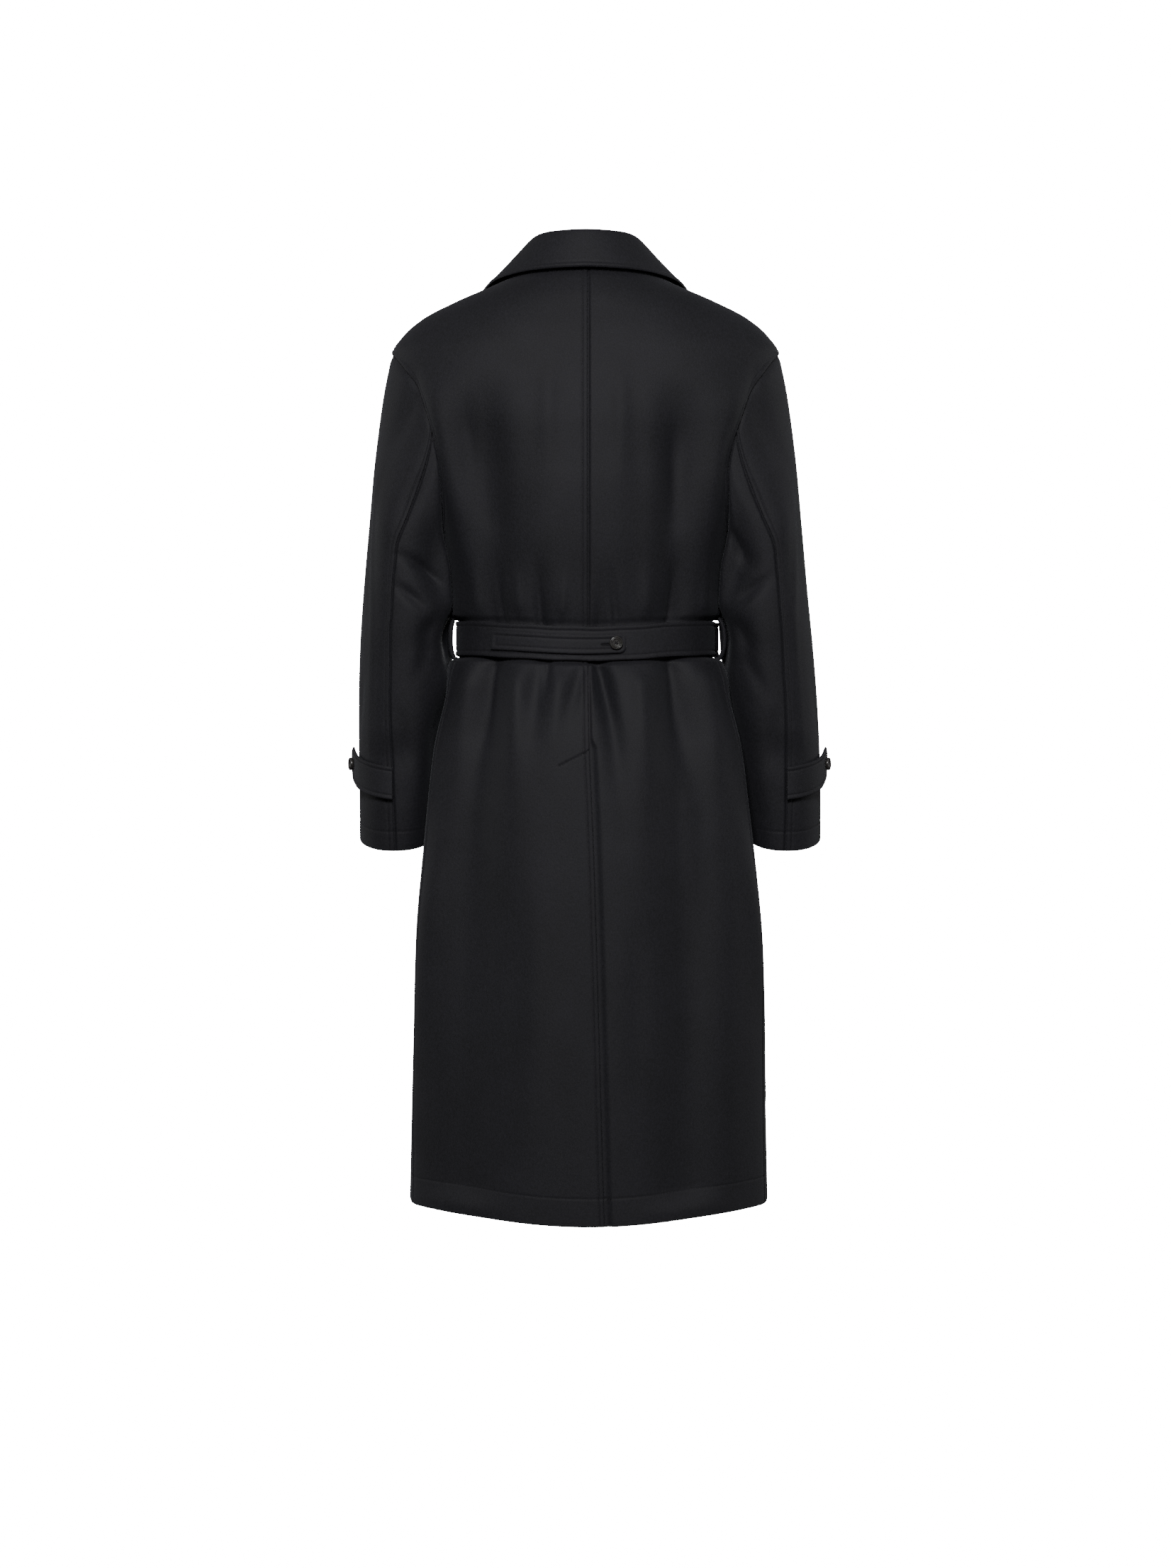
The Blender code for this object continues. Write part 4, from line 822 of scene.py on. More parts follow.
# Their topstitching: the free edge below the break, both armholes and the hem
FRONT_ARMHOLE = np.radians(np.linspace(-172, -4, 170))
FRONT_HEM_FROM_EDGE = 0.02
down_edge = np.linspace(LAPEL_BREAK - SEWN_FROM_END, HEM + SEWN_FROM_EDGE, 420)
edge_turn = free_edge(down_edge) - TOPSTITCH_IN / paces(body, free_edge(down_edge), down_edge)[0]
front_hem = np.linspace(free_edge(hem_height) - FRONT_HEM_FROM_EDGE, outer_edge(hem_height, False), 400)


def lapped_body(turn, height):
    """The coat's outer face with the left front's lap and no sewing."""
    return body(turn, height, lap_lift(turn, height))


sewing_front_left = sew("sewing_front_left", [
    line_on(lapped_body, edge_turn, down_edge),
    line_on(lapped_body, *armhole_line(1, FRONT_ARMHOLE)),
    line_on(lapped_body, front_hem, hem_height),
])
sewing_front_right = sew("sewing_front_right", [
    line_on(body, -edge_turn, down_edge),
    line_on(body, *armhole_line(-1, FRONT_ARMHOLE)),
    line_on(body, -front_hem, hem_height),
])


# Lapels: the tops of the fronts turned back along the roll line, so their outer side is the front's
# facing. They roll softly at the fold and are topstitched along the free edge and the notch.

LAPEL_TOP = -0.0555
LAPEL_WIDTH = 0.100
LAPEL_SLOPE = -0.28
LAPEL_ROLL = 0.005
LAPEL_GAP = 0.0013
LAPEL_FOOT = 0.04
LAPEL_SPREAD = 0.9
LAPEL_FOLD_RADIUS = 0.0036
LAPEL_PUFFED_FROM = 0.012
LAPEL_SEWN_FROM = 0.16
LAPEL_NOTCH_SEWN_TO = 0.10
# Shares across and up a lapel, close together at its fold, its free edge and the notch
LAPEL_COLUMNS = np.concatenate([
    [0, 0.008, 0.02, 0.035, 0.055], np.linspace(0.09, 0.88, 22), np.linspace(0.9, 1, 14),
])[None, :]
LAPEL_ROWS = np.concatenate([np.linspace(LAPEL_FOOT, 0.955, 110), np.linspace(0.96, 1.0, 12)])[:, None]


def lapel_face(across, up, side):
    """A lapel's face: across runs from its fold to its free edge, up from its foot to the notch. It stands
    off the front by a gap, its thickness and a soft roll, and drops round the fold in a quarter circle."""
    fold_height = LAPEL_BREAK + (LAPEL_TOP - LAPEL_BREAK) * up
    reach = LAPEL_WIDTH * up ** LAPEL_SPREAD * across
    height = fold_height + LAPEL_SLOPE * up ** 3 * reach
    turn = turn_at_width(roll_x(fold_height) + reach, height, front=True)
    to_edge = LAPEL_WIDTH * up ** LAPEL_SPREAD - reach
    to_top = (LAPEL_TOP - LAPEL_BREAK) * (1 - up)
    sewn = topstitched(np.minimum(to_edge, to_top)) * ease(reach / LAPEL_PUFFED_FROM)
    seat = LAPEL_GAP + WALL + LAPEL_ROLL * up ** 3 * np.sin(math.pi * across) + sewn
    seat = seat - rolled(reach, LAPEL_FOLD_RADIUS)
    lift = lap_lift(turn, height) if side > 0 else 0.0
    return body(side * turn, height, lift + seat)


def add_lapel(name, side):
    """One lapel on its grid, with its sewing along the free edge and the notch."""
    points = lapel_face(LAPEL_COLUMNS, LAPEL_ROWS, side)
    to_free_edge = LAPEL_WIDTH * LAPEL_ROWS ** LAPEL_SPREAD * (1 - LAPEL_COLUMNS)
    to_ends = (LAPEL_TOP - LAPEL_BREAK) * np.minimum(1 - LAPEL_ROWS, LAPEL_ROWS - LAPEL_FOOT)
    made = add_cloth(name, points, away_from(points, 0.0), np.minimum(to_free_edge, to_ends), WALL)
    climb = np.linspace(LAPEL_SEWN_FROM, 1 - TOPSTITCH_IN / (LAPEL_TOP - LAPEL_BREAK), 160)
    inside = 1 - TOPSTITCH_IN / (LAPEL_WIDTH * climb ** LAPEL_SPREAD)
    along_top = np.linspace(inside[-1], LAPEL_NOTCH_SEWN_TO, 50)
    face = partial(lapel_face, side=side)
    sewing = sew("sewing_" + name, [
        line_on(face, inside, climb, -side),
        line_on(face, along_top, climb[-1], -side),
    ])


SIDES = ((1, "left"), (-1, "right"))
for side, word in SIDES:
    add_lapel(f"lapel_{word}", side)


# Collar: a wide turn-down collar of doubled wool, its stand sewn into the neck seam and its fall
# folded over it. The edge is puffed and topstitched, and stands a little off the shoulders.

DOUBLE_WALL = 0.0032
CollarSection = namedtuple(
    "CollarSection", "station base_turn base_height edge_turn edge_height edge_lift fold_height fold_lean")
COLLAR_SECTIONS = [
    CollarSection(0.00, 0, 0.0128, 0, 0.0040, 0.0100, 0.0670, 0.003),
    CollarSection(0.28, 40, 0.0128, 45, 0.0020, 0.0095, 0.0660, 0.006),
    CollarSection(0.45, 70, 0.0128, 73, -0.0025, 0.0085, 0.0625, 0.012),
    CollarSection(0.56, 88, 0.0128, 92, -0.0075, 0.0085, 0.0570, 0.015),
    CollarSection(0.70, 112, 0.0125, 116, -0.0350, 0.0080, 0.0460, 0.004),
    CollarSection(0.85, 160, -0.0180, 125, -0.0640, 0.0080, 0.0060, -0.004),
    CollarSection(1.00, 180, -0.0530, 129, -0.0750, 0.0080, -0.0460, -0.006),
]
COLLAR_FOLD_WEIGHT = 3.0
COLLAR_FROM_ROLL = 0.0018
COLLAR_PUFF = 1.6
COLLAR_STITCH_SUNK = 0.3
COLLAR_COLUMNS = 200
COLLAR_UNSEWN = 6
COLLAR_ROWS = [
    (0.0, 0.02), (0.25, 0.022), (0.35, 0.014), (0.60, 0.014), (0.86, 0.012), (0.90, 0.006), (1.0, 0.004),
]


def collar(station, across):
    """The collar's hidden face: at each station a rational curve from the neck seam over the fold and down
    to the edge, with the fold drawn in by its weight."""
    away = np.abs(station)
    side = np.where(station < 0, -1.0, 1.0)
    base_turn, base_height, edge_turn, edge_height, edge_lift, fold_height, fold_lean = read_row(
        COLLAR_SECTIONS, away, "station")
    clear = COLLAR_FROM_ROLL / read_column(BODY_SECTIONS, "half_width", base_height)
    base_turn = np.minimum(np.radians(base_turn), free_edge(base_height) + clear)
    base = body(side * base_turn, base_height)
    edge = body(side * np.radians(edge_turn), edge_height, edge_lift)
    to_middle = np.stack([-base[..., 0], -base[..., 1], 0 * base[..., 2]], axis=-1)
    fold = base + unit(to_middle) * fold_lean[..., None]
    fold[..., 2] = fold_height
    start = ((1 - across) ** 2)[..., None]
    over = (2 * COLLAR_FOLD_WEIGHT * across * (1 - across))[..., None]
    end = (across ** 2)[..., None]
    return (base * start + fold * over + edge * end) / (start + over + end)


station, across = np.meshgrid(np.linspace(-1, 1, COLLAR_COLUMNS), graded(COLLAR_ROWS))
hidden = collar(station, across)
collar_out = face_normals(hidden)
collar_out = collar_out * np.sign(np.sum(collar_out[-1, COLLAR_COLUMNS // 2] * [0.0, 1.0, 1.0]))
station_pace, across_pace = paces(collar, station, across)
up_from_edge = np.cumsum((across_pace[1:] * np.diff(across, axis=0))[::-1], axis=0)[::-1]
to_edge = np.concatenate([up_from_edge, 0 * across[:1]])
nearest = np.minimum(to_edge, (1 - np.abs(station)) * station_pace)
outer_collar = hidden + collar_out * (DOUBLE_WALL + topstitched(nearest) * COLLAR_PUFF)[..., None]
collar_piece = add_cloth("collar", outer_collar, collar_out, nearest, DOUBLE_WALL)

stitch_row = np.argmin(np.abs(to_edge - TOPSTITCH_IN), axis=0)
kept = slice(COLLAR_UNSEWN, -COLLAR_UNSEWN)
picked = stitch_row[kept], np.arange(COLLAR_COLUMNS)[kept]
collar_line = outer_collar[picked] - collar_out[picked] * FURROW * COLLAR_STITCH_SUNK
sewing_collar = sew("sewing_collar", [(collar_line, collar_out[picked])])


# Sleeves: each a top and an under piece, set into a dropped armhole. The back seam's turnings are
# pressed to the outer side and topstitched, and the cuff has a deep hem held by one line of stitches.

MIRROR = {side: np.array([side, 1.0, 1.0]) for side, word in SIDES}
SleeveSection = namedtuple("SleeveSection", "height outer inner middle half_depth lean")
SLEEVE_SECTIONS = [
    SleeveSection(-0.090, 0.2495, 0.170, 0.000, 0.078, 0.00),
    SleeveSection(-0.153, 0.2622, 0.181, 0.000, 0.085, 0.00),
    SleeveSection(-0.235, 0.2728, 0.191, 0.000, 0.087, 0.00),
    SleeveSection(-0.318, 0.2802, 0.191, 0.000, 0.085, 0.00),
    SleeveSection(-0.385, 0.2862, 0.1815, -0.001, 0.081, 0.02),
    SleeveSection(-0.440, 0.2908, 0.1705, -0.002, 0.078, 0.06),
    SleeveSection(-0.480, 0.2937, 0.1715, -0.005, 0.075, 0.12),
    SleeveSection(-0.540, 0.2965, 0.1800, -0.010, 0.071, 0.20),
    SleeveSection(-0.610, 0.2980, 0.1905, -0.018, 0.068, 0.26),
    SleeveSection(-0.735, 0.2985, 0.2045, -0.036, 0.064, 0.28),
]
SWING = {1: -0.0037, -1: 0.0085}
SWING_FROM = -0.38
SWING_TO = -0.70
CUFF = -0.724
CAP_FADE = 0.150
SLEEVE_AXIS = 0.235
SLEEVE_SQUARENESS = 2.2
# Folds of a sleeve, in degrees round it: 0 at its outer side, 90 at the back, 180 against the body
SLEEVE_FOLDS = [
    Fold(112, 126, -0.30, -0.37, -0.43, 14, -0.0060, 0.0),
    Fold(112, 128, -0.42, -0.47, -0.56, 16, -0.0060, 0.0),
    Fold(62, 40, -0.20, -0.33, -0.50, 14, -0.0030, 0.0),
    Fold(168, 168, -0.40, -0.465, -0.53, 20, -0.0100, 0.0),
    Fold(146, 146, -0.320, -0.385, -0.416, 11, 0.0080, 0.8),
    Fold(84, 70, -0.565, -0.606, -0.645, 34, -0.0042, 0.4),
    Fold(90, 104, -0.535, -0.588, -0.632, 6, -0.0034, 0.2),
]
LEFT_SLEEVE_CREASES = [
    Fold(50, 52, -0.20, -0.34, -0.60, 3.5, 0.0022, 0.3),
    Fold(86, 134, -0.354, -0.377, -0.400, 9, -0.0085, 0.0),
    Fold(84, 116, -0.392, -0.412, -0.440, 8, -0.0056, 0.0),
    Fold(126, 104, -0.428, -0.450, -0.484, 8, -0.0058, 0.0),
    Fold(120, 98, -0.458, -0.482, -0.530, 7, -0.0038, 0.0),
    Fold(148, 148, -0.425, -0.466, -0.486, 22, -0.0085, 0.7),
    Fold(146, 146, -0.520, -0.580, -0.690, 22, -0.0085, 0.2),
    Fold(96, 82, -0.20, -0.27, -0.36, 6, -0.0032, 0.0),
    Fold(70, 62, -0.14, -0.19, -0.27, 7, 0.0015, 0.0),
    Fold(40, 26, -0.48, -0.54, -0.60, 6, -0.0018, 0.0),
    Fold(-30, -60, -0.36, -0.40, -0.45, 9, -0.0030, 0.0),
    Fold(-80, -50, -0.42, -0.46, -0.52, 9, -0.0028, 0.0),
    Fold(-70, -96, -0.20, -0.29, -0.38, 8, -0.0024, 0.0),
]
RIGHT_SLEEVE_CREASES = [
    Fold(58, 61, -0.19, -0.36, -0.58, 3.5, 0.0022, 0.3),
    Fold(134, 100, -0.320, -0.350, -0.392, 8, -0.0085, 0.0),
    Fold(92, 122, -0.382, -0.404, -0.432, 9, -0.0058, 0.0),
    Fold(126, 104, -0.432, -0.456, -0.494, 8, -0.0058, 0.0),
    Fold(120, 92, -0.470, -0.496, -0.545, 7, -0.0038, 0.0),
    Fold(148, 148, -0.425, -0.466, -0.486, 22, -0.0060, 0.7),
    Fold(98, 84, -0.19, -0.26, -0.35, 6, -0.0034, 0.0),
    Fold(72, 66, -0.15, -0.20, -0.29, 7, 0.0014, 0.0),
    Fold(36, 22, -0.50, -0.55, -0.61, 6, -0.0016, 0.0),
    Fold(-34, -62, -0.37, -0.41, -0.46, 9, -0.0028, 0.0),
    Fold(-84, -52, -0.43, -0.47, -0.53, 9, -0.0030, 0.0),
    Fold(-72, -98, -0.21, -0.30, -0.40, 8, -0.0022, 0.0),
]
FOLDS_OF_SIDE = {1: SLEEVE_FOLDS + LEFT_SLEEVE_CREASES, -1: SLEEVE_FOLDS + RIGHT_SLEEVE_CREASES}
# Where its seams run, in the same degrees: the back one bends at the elbow, the front one is straight
BackSeam = namedtuple("BackSeam", "height angle")
BACK_SEAM = [
    BackSeam(-0.09, 86),
    BackSeam(-0.22, 89),
    BackSeam(-0.29, 84),
    BackSeam(-0.42, 75),
    BackSeam(-0.50, 77),
    BackSeam(-0.58, 82),
    BackSeam(-0.74, 92),
]
FRONT_SEAM = -120
CUFF_STITCH_UP = 0.025
# Stitches: the shares of a sleeve's back seam that are sewn, and the angles of its cuff's line
BACK_SEAM_SEWN = (0.012, 0.996)
CUFF_SEWN_FROM = math.radians(-118)
CUFF_SEWN_TO = math.radians(238)
CUFF_STITCH_SHARE = 0.96
CUFF_SEAM_CLEAR = 0.03
CAP_DIP = 0.0018
CAP_DIP_WIDTH = 0.006
CAP_TURNINGS = np.array([5.0, 3.6, 2.2, 1.0]) / 1000
SLEEVE_ROWS = [
    (0.0010, 0.0016), (0.02, 0.0034), (0.18, 0.0060), (0.40, 0.0048), (0.70, 0.0058), (0.930, 0.0058),
    (0.955, 0.0018), (0.968, 0.0018), (0.976, 0.005), (0.99, 0.004), (1.0, 0.0006),
]
TOP_CORE_COLUMNS = 52
UNDER_CORE_COLUMNS = 34


def tube(angle, height, side):
    """A left sleeve with no cap: a superellipse whose centre, width, depth and lean change with height,
    moved out by the sleeve's folds."""
    outer, inner, middle, half_depth, lean = read_row(SLEEVE_SECTIONS, height)
    half_width = (outer - inner) / 2
    centre = (outer + inner) / 2 + SWING[side] * ease((SWING_FROM - height) / (SWING_FROM - SWING_TO))
    cosine, sine = np.cos(angle), np.sin(angle)
    reach = np.abs(cosine / half_width) ** SLEEVE_SQUARENESS + np.abs(sine / half_depth) ** SLEEVE_SQUARENESS
    radius = reach ** (-1 / SLEEVE_SQUARENESS) + fold_rise(FOLDS_OF_SIDE[side], angle, height)
    y = radius * sine
    return np.stack(np.broadcast_arrays(centre + radius * cosine, middle + y, height - lean * y), axis=-1)


def sleeve(angle, share, side, lift=0.0):
    """A left sleeve from the armhole seam at share 0 to the cuff at 1: the tube, drawn near its top to the
    armhole seam by an amount that fades, and moved out from its axis by lift."""
    top = armhole_height(angle)
    height = top + (CUFF - top) * share
    seam = body(side * armhole_turn((angle + math.pi) % (2 * math.pi) - math.pi), top) * MIRROR[side]
    left = 1 - ease((top - height) / CAP_FADE)
    out = np.stack(np.broadcast_arrays(np.cos(angle), np.sin(angle), 0 * height), axis=-1)
    lift = np.broadcast_to(lift, np.broadcast(angle, share).shape)
    drawn = (seam - tube(angle, top, side)) * left[..., None]
    return tube(angle, height, side) + drawn + out * lift[..., None]


def back_seam(share):
    """Angle of a sleeve's back seam."""
    return np.radians(read_column(BACK_SEAM, "angle", SHOULDER + (CUFF - SHOULDER) * share))


def add_sleeve(name, side, under):
    """The top or under piece on a grid of angles and shares, with its cap dipped to the armhole seam and its
    turnings there below the body. The under piece's other turnings pass below the top piece."""
    share = graded(SLEEVE_ROWS)[:, None]
    back = back_seam(share)
    front = np.full_like(back, math.radians(FRONT_SEAM + 360 * under))
    plain = partial(sleeve, side=side)
    back_pace = paces(plain, back, share)[0]
    front_pace = paces(plain, front, share)[0]
    inwards = np.sign(front - back)
    past_seam = -TURNED_UNDER if under else SEAM_GAP / 2
    back = back + inwards * past_seam / back_pace
    front = front - inwards * past_seam / front_pace
    near = edge_columns(front, back, front_pace)
    angle = panel_columns(near, back, back_pace, UNDER_CORE_COLUMNS if under else TOP_CORE_COLUMNS)
    to_back = np.abs(angle - back) * back_pace
    to_front = np.abs(angle - front) * front_pace
    length = armhole_height(angle) - CUFF
    to_cuff = (1 - share) * length
    tucked = ease((SEAM_RAMP + TURNED_UNDER - np.minimum(to_back, to_front)) / (SEAM_RAMP - SEAM_CLEAR))
    sewn = -SEAM_DROP * tucked if under else topstitched(to_back)
    lift = sewn + furrow(to_cuff - CUFF_STITCH_UP) - CAP_DIP * np.exp(-(share * length / CAP_DIP_WIDTH) ** 2)
    points = sleeve(angle, share, side, lift) * MIRROR[side]
    cap_angle = (angle[:1] + math.pi) % (2 * math.pi) - math.pi
    below_body = -SEAM_DROP - WALL * tucked[:1] * under
    turnings = body(*armhole_line(side, cap_angle, CAP_TURNINGS[:, None]), below_body)
    points = np.concatenate([turnings, points])
    nearest = np.minimum(np.minimum(to_back, to_front), to_cuff)
    beside = np.minimum(nearest[:1], (CAP_TURNINGS[0] - CAP_TURNINGS)[:, None])
    nearest = np.concatenate([beside, nearest])
    return add_cloth(name, points, away_from(points, side * SLEEVE_AXIS), nearest, WALL)


def sleeve_face(angle, share, side):
    """A whole sleeve in the coat's own place, with no sewing."""
    return sleeve(angle, share, side) * MIRROR[side]


for side, word in SIDES:
    face = partial(sleeve_face, side=side)
    top_sleeve = add_sleeve(f"sleeve_{word}_top", side, under=False)
    under_sleeve = add_sleeve(f"sleeve_{word}_under", side, under=True)
    down_seam = np.linspace(*BACK_SEAM_SEWN, 400)
    seam_angle = back_seam(down_seam)
    seam_angle = seam_angle - TOPSTITCH_IN / paces(face, seam_angle, down_seam)[0]
    cuff_seam = back_seam(np.array(CUFF_STITCH_SHARE))
    round_top = np.linspace(CUFF_SEWN_FROM, cuff_seam - CUFF_SEAM_CLEAR, 200)
    round_under = np.linspace(cuff_seam + CUFF_SEAM_CLEAR, CUFF_SEWN_TO, 160)
    top_share = 1 - CUFF_STITCH_UP / (armhole_height(round_top) - CUFF)
    under_share = 1 - CUFF_STITCH_UP / (armhole_height(round_under) - CUFF)
    sewing_top = sew(f"sewing_sleeve_{word}_top", [
        line_on(face, seam_angle, down_seam, side),
        line_on(face, round_top, top_share, side),
    ])
    sewing_under = sew(f"sewing_sleeve_{word}_under", [line_on(face, round_under, under_share, side)])


# Sleeve tabs: short pointed straps of doubled wool, caught in each back seam above the cuff and
# buttoned near the free end, which stands off the sleeve. Topstitched all round.

TAB_HEIGHT = -0.637
TAB_RISE = 0.012
TAB_WIDTH = 0.043
TAB_LEAVES = 28
TAB_FREE_LENGTH = 0.042
TAB_POINT = 0.015
TAB_TIP_SHARE = 0.35
TAB_FREE_CURVE = 0.004
TAB_GAP = 0.0027
TAB_STITCH_IN = 0.006
TAB_SEWN_FROM = 0.03
TAB_RUNS = [(0.0, 0.03), (1.0, 0.03), (1.62, 0.02), (1.80, 0.014), (2.0, 0.008)]
TAB_ROWS = 12


def tab_path(run, lift, side):
    """Middle line of a left tab: round the sleeve from its back seam, then straight on and free, closing
    in a little with the square of the free run."""
    small = 1e-3
    seam = math.radians(float(read_column(BACK_SEAM, "angle", TAB_HEIGHT)))
    angle = seam + (math.radians(TAB_LEAVES) - seam) * np.minimum(run, 1)
    height = TAB_HEIGHT + TAB_RISE * run / 2
    on = tube(angle, height, side)
    forward = unit(tube(angle - small, height, side) - on)
    outward = unit(np.stack([-forward[..., 1], forward[..., 0], 0 * run], axis=-1))
    free = np.maximum(run - 1, 0)[..., None]
    closing = TAB_FREE_CURVE * free ** 2
    return on + forward * free * TAB_FREE_LENGTH + outward * (np.asarray(lift)[..., None] - closing)


def tab_half(run):
    """Half the tab's width, tapering to its blunt point."""
    to_tip = np.clip((2 - run) * TAB_FREE_LENGTH / TAB_POINT, 0.0, 1.0)
    return TAB_WIDTH / 2 * (TAB_TIP_SHARE + (1 - TAB_TIP_SHARE) * to_tip)


def tab_edge(run, across):
    """Distance to the tab's long edges or its tip, whichever is nearer."""
    return np.minimum(tab_half(run) * (1 - np.abs(across)), (2 - run) * TAB_FREE_LENGTH)


def tab_face(run, across, side):
    """The tab's outer face: its middle line moved up and down by its half width, with its sewing."""
    lift = TAB_GAP + DOUBLE_WALL + topstitched(tab_edge(run, across), TAB_STITCH_IN)
    points = tab_path(run + 0 * across, lift, side)
    rise = np.stack(np.broadcast_arrays(0.0, 0.0, tab_half(run) * across), axis=-1)
    return (points + rise) * MIRROR[side]


def edged(low, high, near, core):
    """Places from low to high: those near each end, and core even ones from the last of them to the next."""
    between = np.linspace(low + near[-1], high - near[-1], core)[1:-1]
    return np.concatenate([low + near, between, high - near[::-1]])


for side, word in SIDES:
    run = graded(TAB_RUNS)[None, :]
    across = edged(-1, 1, NEAR_EDGE / (TAB_WIDTH / 2), TAB_ROWS)[:, None]
    points = tab_face(run, across, side)
    outward = away_from(points, side * SLEEVE_AXIS)
    tab = add_cloth(f"sleeve_tab_{word}", points, outward, tab_edge(run, across), DOUBLE_WALL)
    face = partial(tab_face, side=side)
    to_point = np.linspace(TAB_SEWN_FROM, 2 - TAB_STITCH_IN / TAB_FREE_LENGTH, 90)
    inside = 1 - TAB_STITCH_IN / tab_half(to_point)
    sewing_tab = sew(f"sewing_tab_{word}", [
        line_on(face, to_point, inside, side),
        line_on(face, to_point, -inside, side),
        line_on(face, to_point[-1], np.linspace(inside[-1], -inside[-1], 12), side),
    ])


# Belt: a doubled strip of the same wool round the waist, edge-stitched on both sides, with its end
# lapped and buttoned in front. It gathers the body into tucks above and below.

LAY_GAP = 0.0005
BELT_WIDTH = 0.045
BELT_THICK = 0.0036
BELT_LAP_FROM = 172
BELT_LAP_TO = 214
BELT_LAP_RAMP_FROM = 158
BELT_LAP_RAMP = 12
BELT_STITCH_IN = 0.0065
BELT_COLUMNS = 520
BELT_ROWS = 8
BELT_UNSEWN = 3
WAIST_RADIUS = 0.11
# Slow waves of the belt's height: their size, their number round the waist and their start
BELT_WAVES = [(0.0004, 5, 0.7), (0.0003, 13, 0.0)]


def belt_middle(turn):
    """Height of the belt's middle line, lower at the back and the front by a squared cosine."""
    return BELT_HEIGHT - BELT_DIP * np.cos(turn) ** 2


def band(turn, rise, lift):
    """An upright band round the waist: the section at the belt, moved out by lift and up by rise."""
    small = 1e-4
    x, y = ring(turn, BELT_HEIGHT)
    x_on, y_on = ring(turn + small, BELT_HEIGHT)
    along_x, along_y = x_on - x, y_on - y
    lift = lift / np.hypot(along_x, along_y)
    spot = x - lift * along_y - sway(BELT_HEIGHT), y + lift * along_x, belt_middle(turn) + rise
    return np.stack(np.broadcast_arrays(*spot), axis=-1)


def belt_seat(turn):
    """How far the belt's inner side stands off the waist: more over the lapped fronts and its own start."""
    lapped = ease((np.degrees(turn) - BELT_LAP_RAMP_FROM) / BELT_LAP_RAMP)
    return 2 * LAY_GAP + lap_lift(turn, BELT_HEIGHT) + (BELT_THICK + LAY_GAP) * lapped


def belt_face(turn, rise):
    """The belt's outer face, puffed between the stitches and both edges, and slightly uneven."""
    to_edge = BELT_WIDTH / 2 - np.abs(rise)
    uneven = sum(size * np.sin(count * turn + start) for size, count, start in BELT_WAVES)
    return band(turn, rise + uneven, belt_seat(turn) + BELT_THICK + topstitched(to_edge, BELT_STITCH_IN))


belt_turn = np.radians(np.linspace(BELT_LAP_FROM - 360, BELT_LAP_TO, BELT_COLUMNS))[None, :]
half = BELT_WIDTH / 2
belt_rise = edged(-half, half, NEAR_EDGE, BELT_ROWS)[:, None]
belt_points = belt_face(belt_turn, belt_rise)
belt_length = np.abs(belt_turn - belt_turn[:, [0]]) * WAIST_RADIUS
belt_end = np.minimum(belt_length, belt_length[:, ::-1])
belt_edge = np.minimum(half - np.abs(belt_rise), belt_end)
belt = add_cloth("belt", belt_points, away_from(belt_points, 0.0), belt_edge, BELT_THICK)
stitched_turn = np.linspace(belt_turn[0, BELT_UNSEWN], belt_turn[0, -BELT_UNSEWN - 1], 900)
sewing_belt = sew("sewing_belt", [
    line_on(belt_face, stitched_turn, half - BELT_STITCH_IN),
    line_on(belt_face, stitched_turn, BELT_STITCH_IN - half),
])


# Belt strap: a narrower tab of the same wool on the back of the belt, sewn down at one end and
# buttoned at the other, which has rounded corners.

STRAP_FROM = 0.118
STRAP_TO = -0.050
STRAP_WIDTH = 0.025
STRAP_DROP = 0.001
STRAP_CORNER = 0.008
STRAP_STITCH_IN = 0.006
STRAP_SEWN_FROM = 0.003
STRAP_END_SEWN = 0.9
STRAP_RUNS = [(0.0, 0.0005), (0.004, 0.0016), (0.15, 0.0016), (0.162, 0.0008), (0.168, 0.0004)]
STRAP_ROWS = 7
STRAP_SEAT = 3 * LAY_GAP + BELT_THICK

strap_from = float(turn_at_width(STRAP_FROM, BELT_HEIGHT, front=False))
strap_to = float(turn_at_width(STRAP_TO, BELT_HEIGHT, front=False))
strap_length = STRAP_FROM - STRAP_TO


def strap_half(along):
    """Half the strap's width, less the circle that rounds each corner of its free end."""
    into_corner = np.clip(STRAP_CORNER - (strap_length - along), 0, STRAP_CORNER)
    return STRAP_WIDTH / 2 - (STRAP_CORNER - np.sqrt(STRAP_CORNER ** 2 - into_corner ** 2))


def strap_edge(along, across):
    """Distance to the strap's long edges or either end."""
    sides = strap_half(along) * (1 - np.abs(across))
    return np.minimum(sides, np.minimum(strap_length - along, along))


def strap_face(along, across):
    """The strap's outer face on the belt, with its edges puffed and sewn."""
    turn = strap_from + (strap_to - strap_from) * along / strap_length
    lift = STRAP_SEAT + WALL + topstitched(strap_edge(along, across), STRAP_STITCH_IN)
    return band(turn, strap_half(along) * across - STRAP_DROP, lift)


strap_along = graded(STRAP_RUNS)[None, :]
strap_across = edged(-1, 1, NEAR_EDGE[:-2] / (STRAP_WIDTH / 2), STRAP_ROWS)[:, None]
strap_points = strap_face(strap_along, strap_across)
strap = add_cloth("belt_strap", strap_points, away_from(strap_points, 0.0),
                  strap_edge(strap_along, strap_across), WALL)
along_strap = np.linspace(STRAP_SEWN_FROM, strap_length - STRAP_STITCH_IN, 160)
strap_inside = 1 - STRAP_STITCH_IN / strap_half(along_strap)
over_end = np.linspace(strap_inside[-1], -strap_inside[-1], 12)
sewn_end = np.linspace(STRAP_END_SEWN, -STRAP_END_SEWN, 24)
sewing_strap = sew("sewing_strap", [
    line_on(strap_face, along_strap, strap_inside, -1),
    line_on(strap_face, along_strap, -strap_inside, -1),
    line_on(strap_face, along_strap[-1], over_end, -1),
    line_on(strap_face, STRAP_STITCH_IN, sewn_end, -1),
])


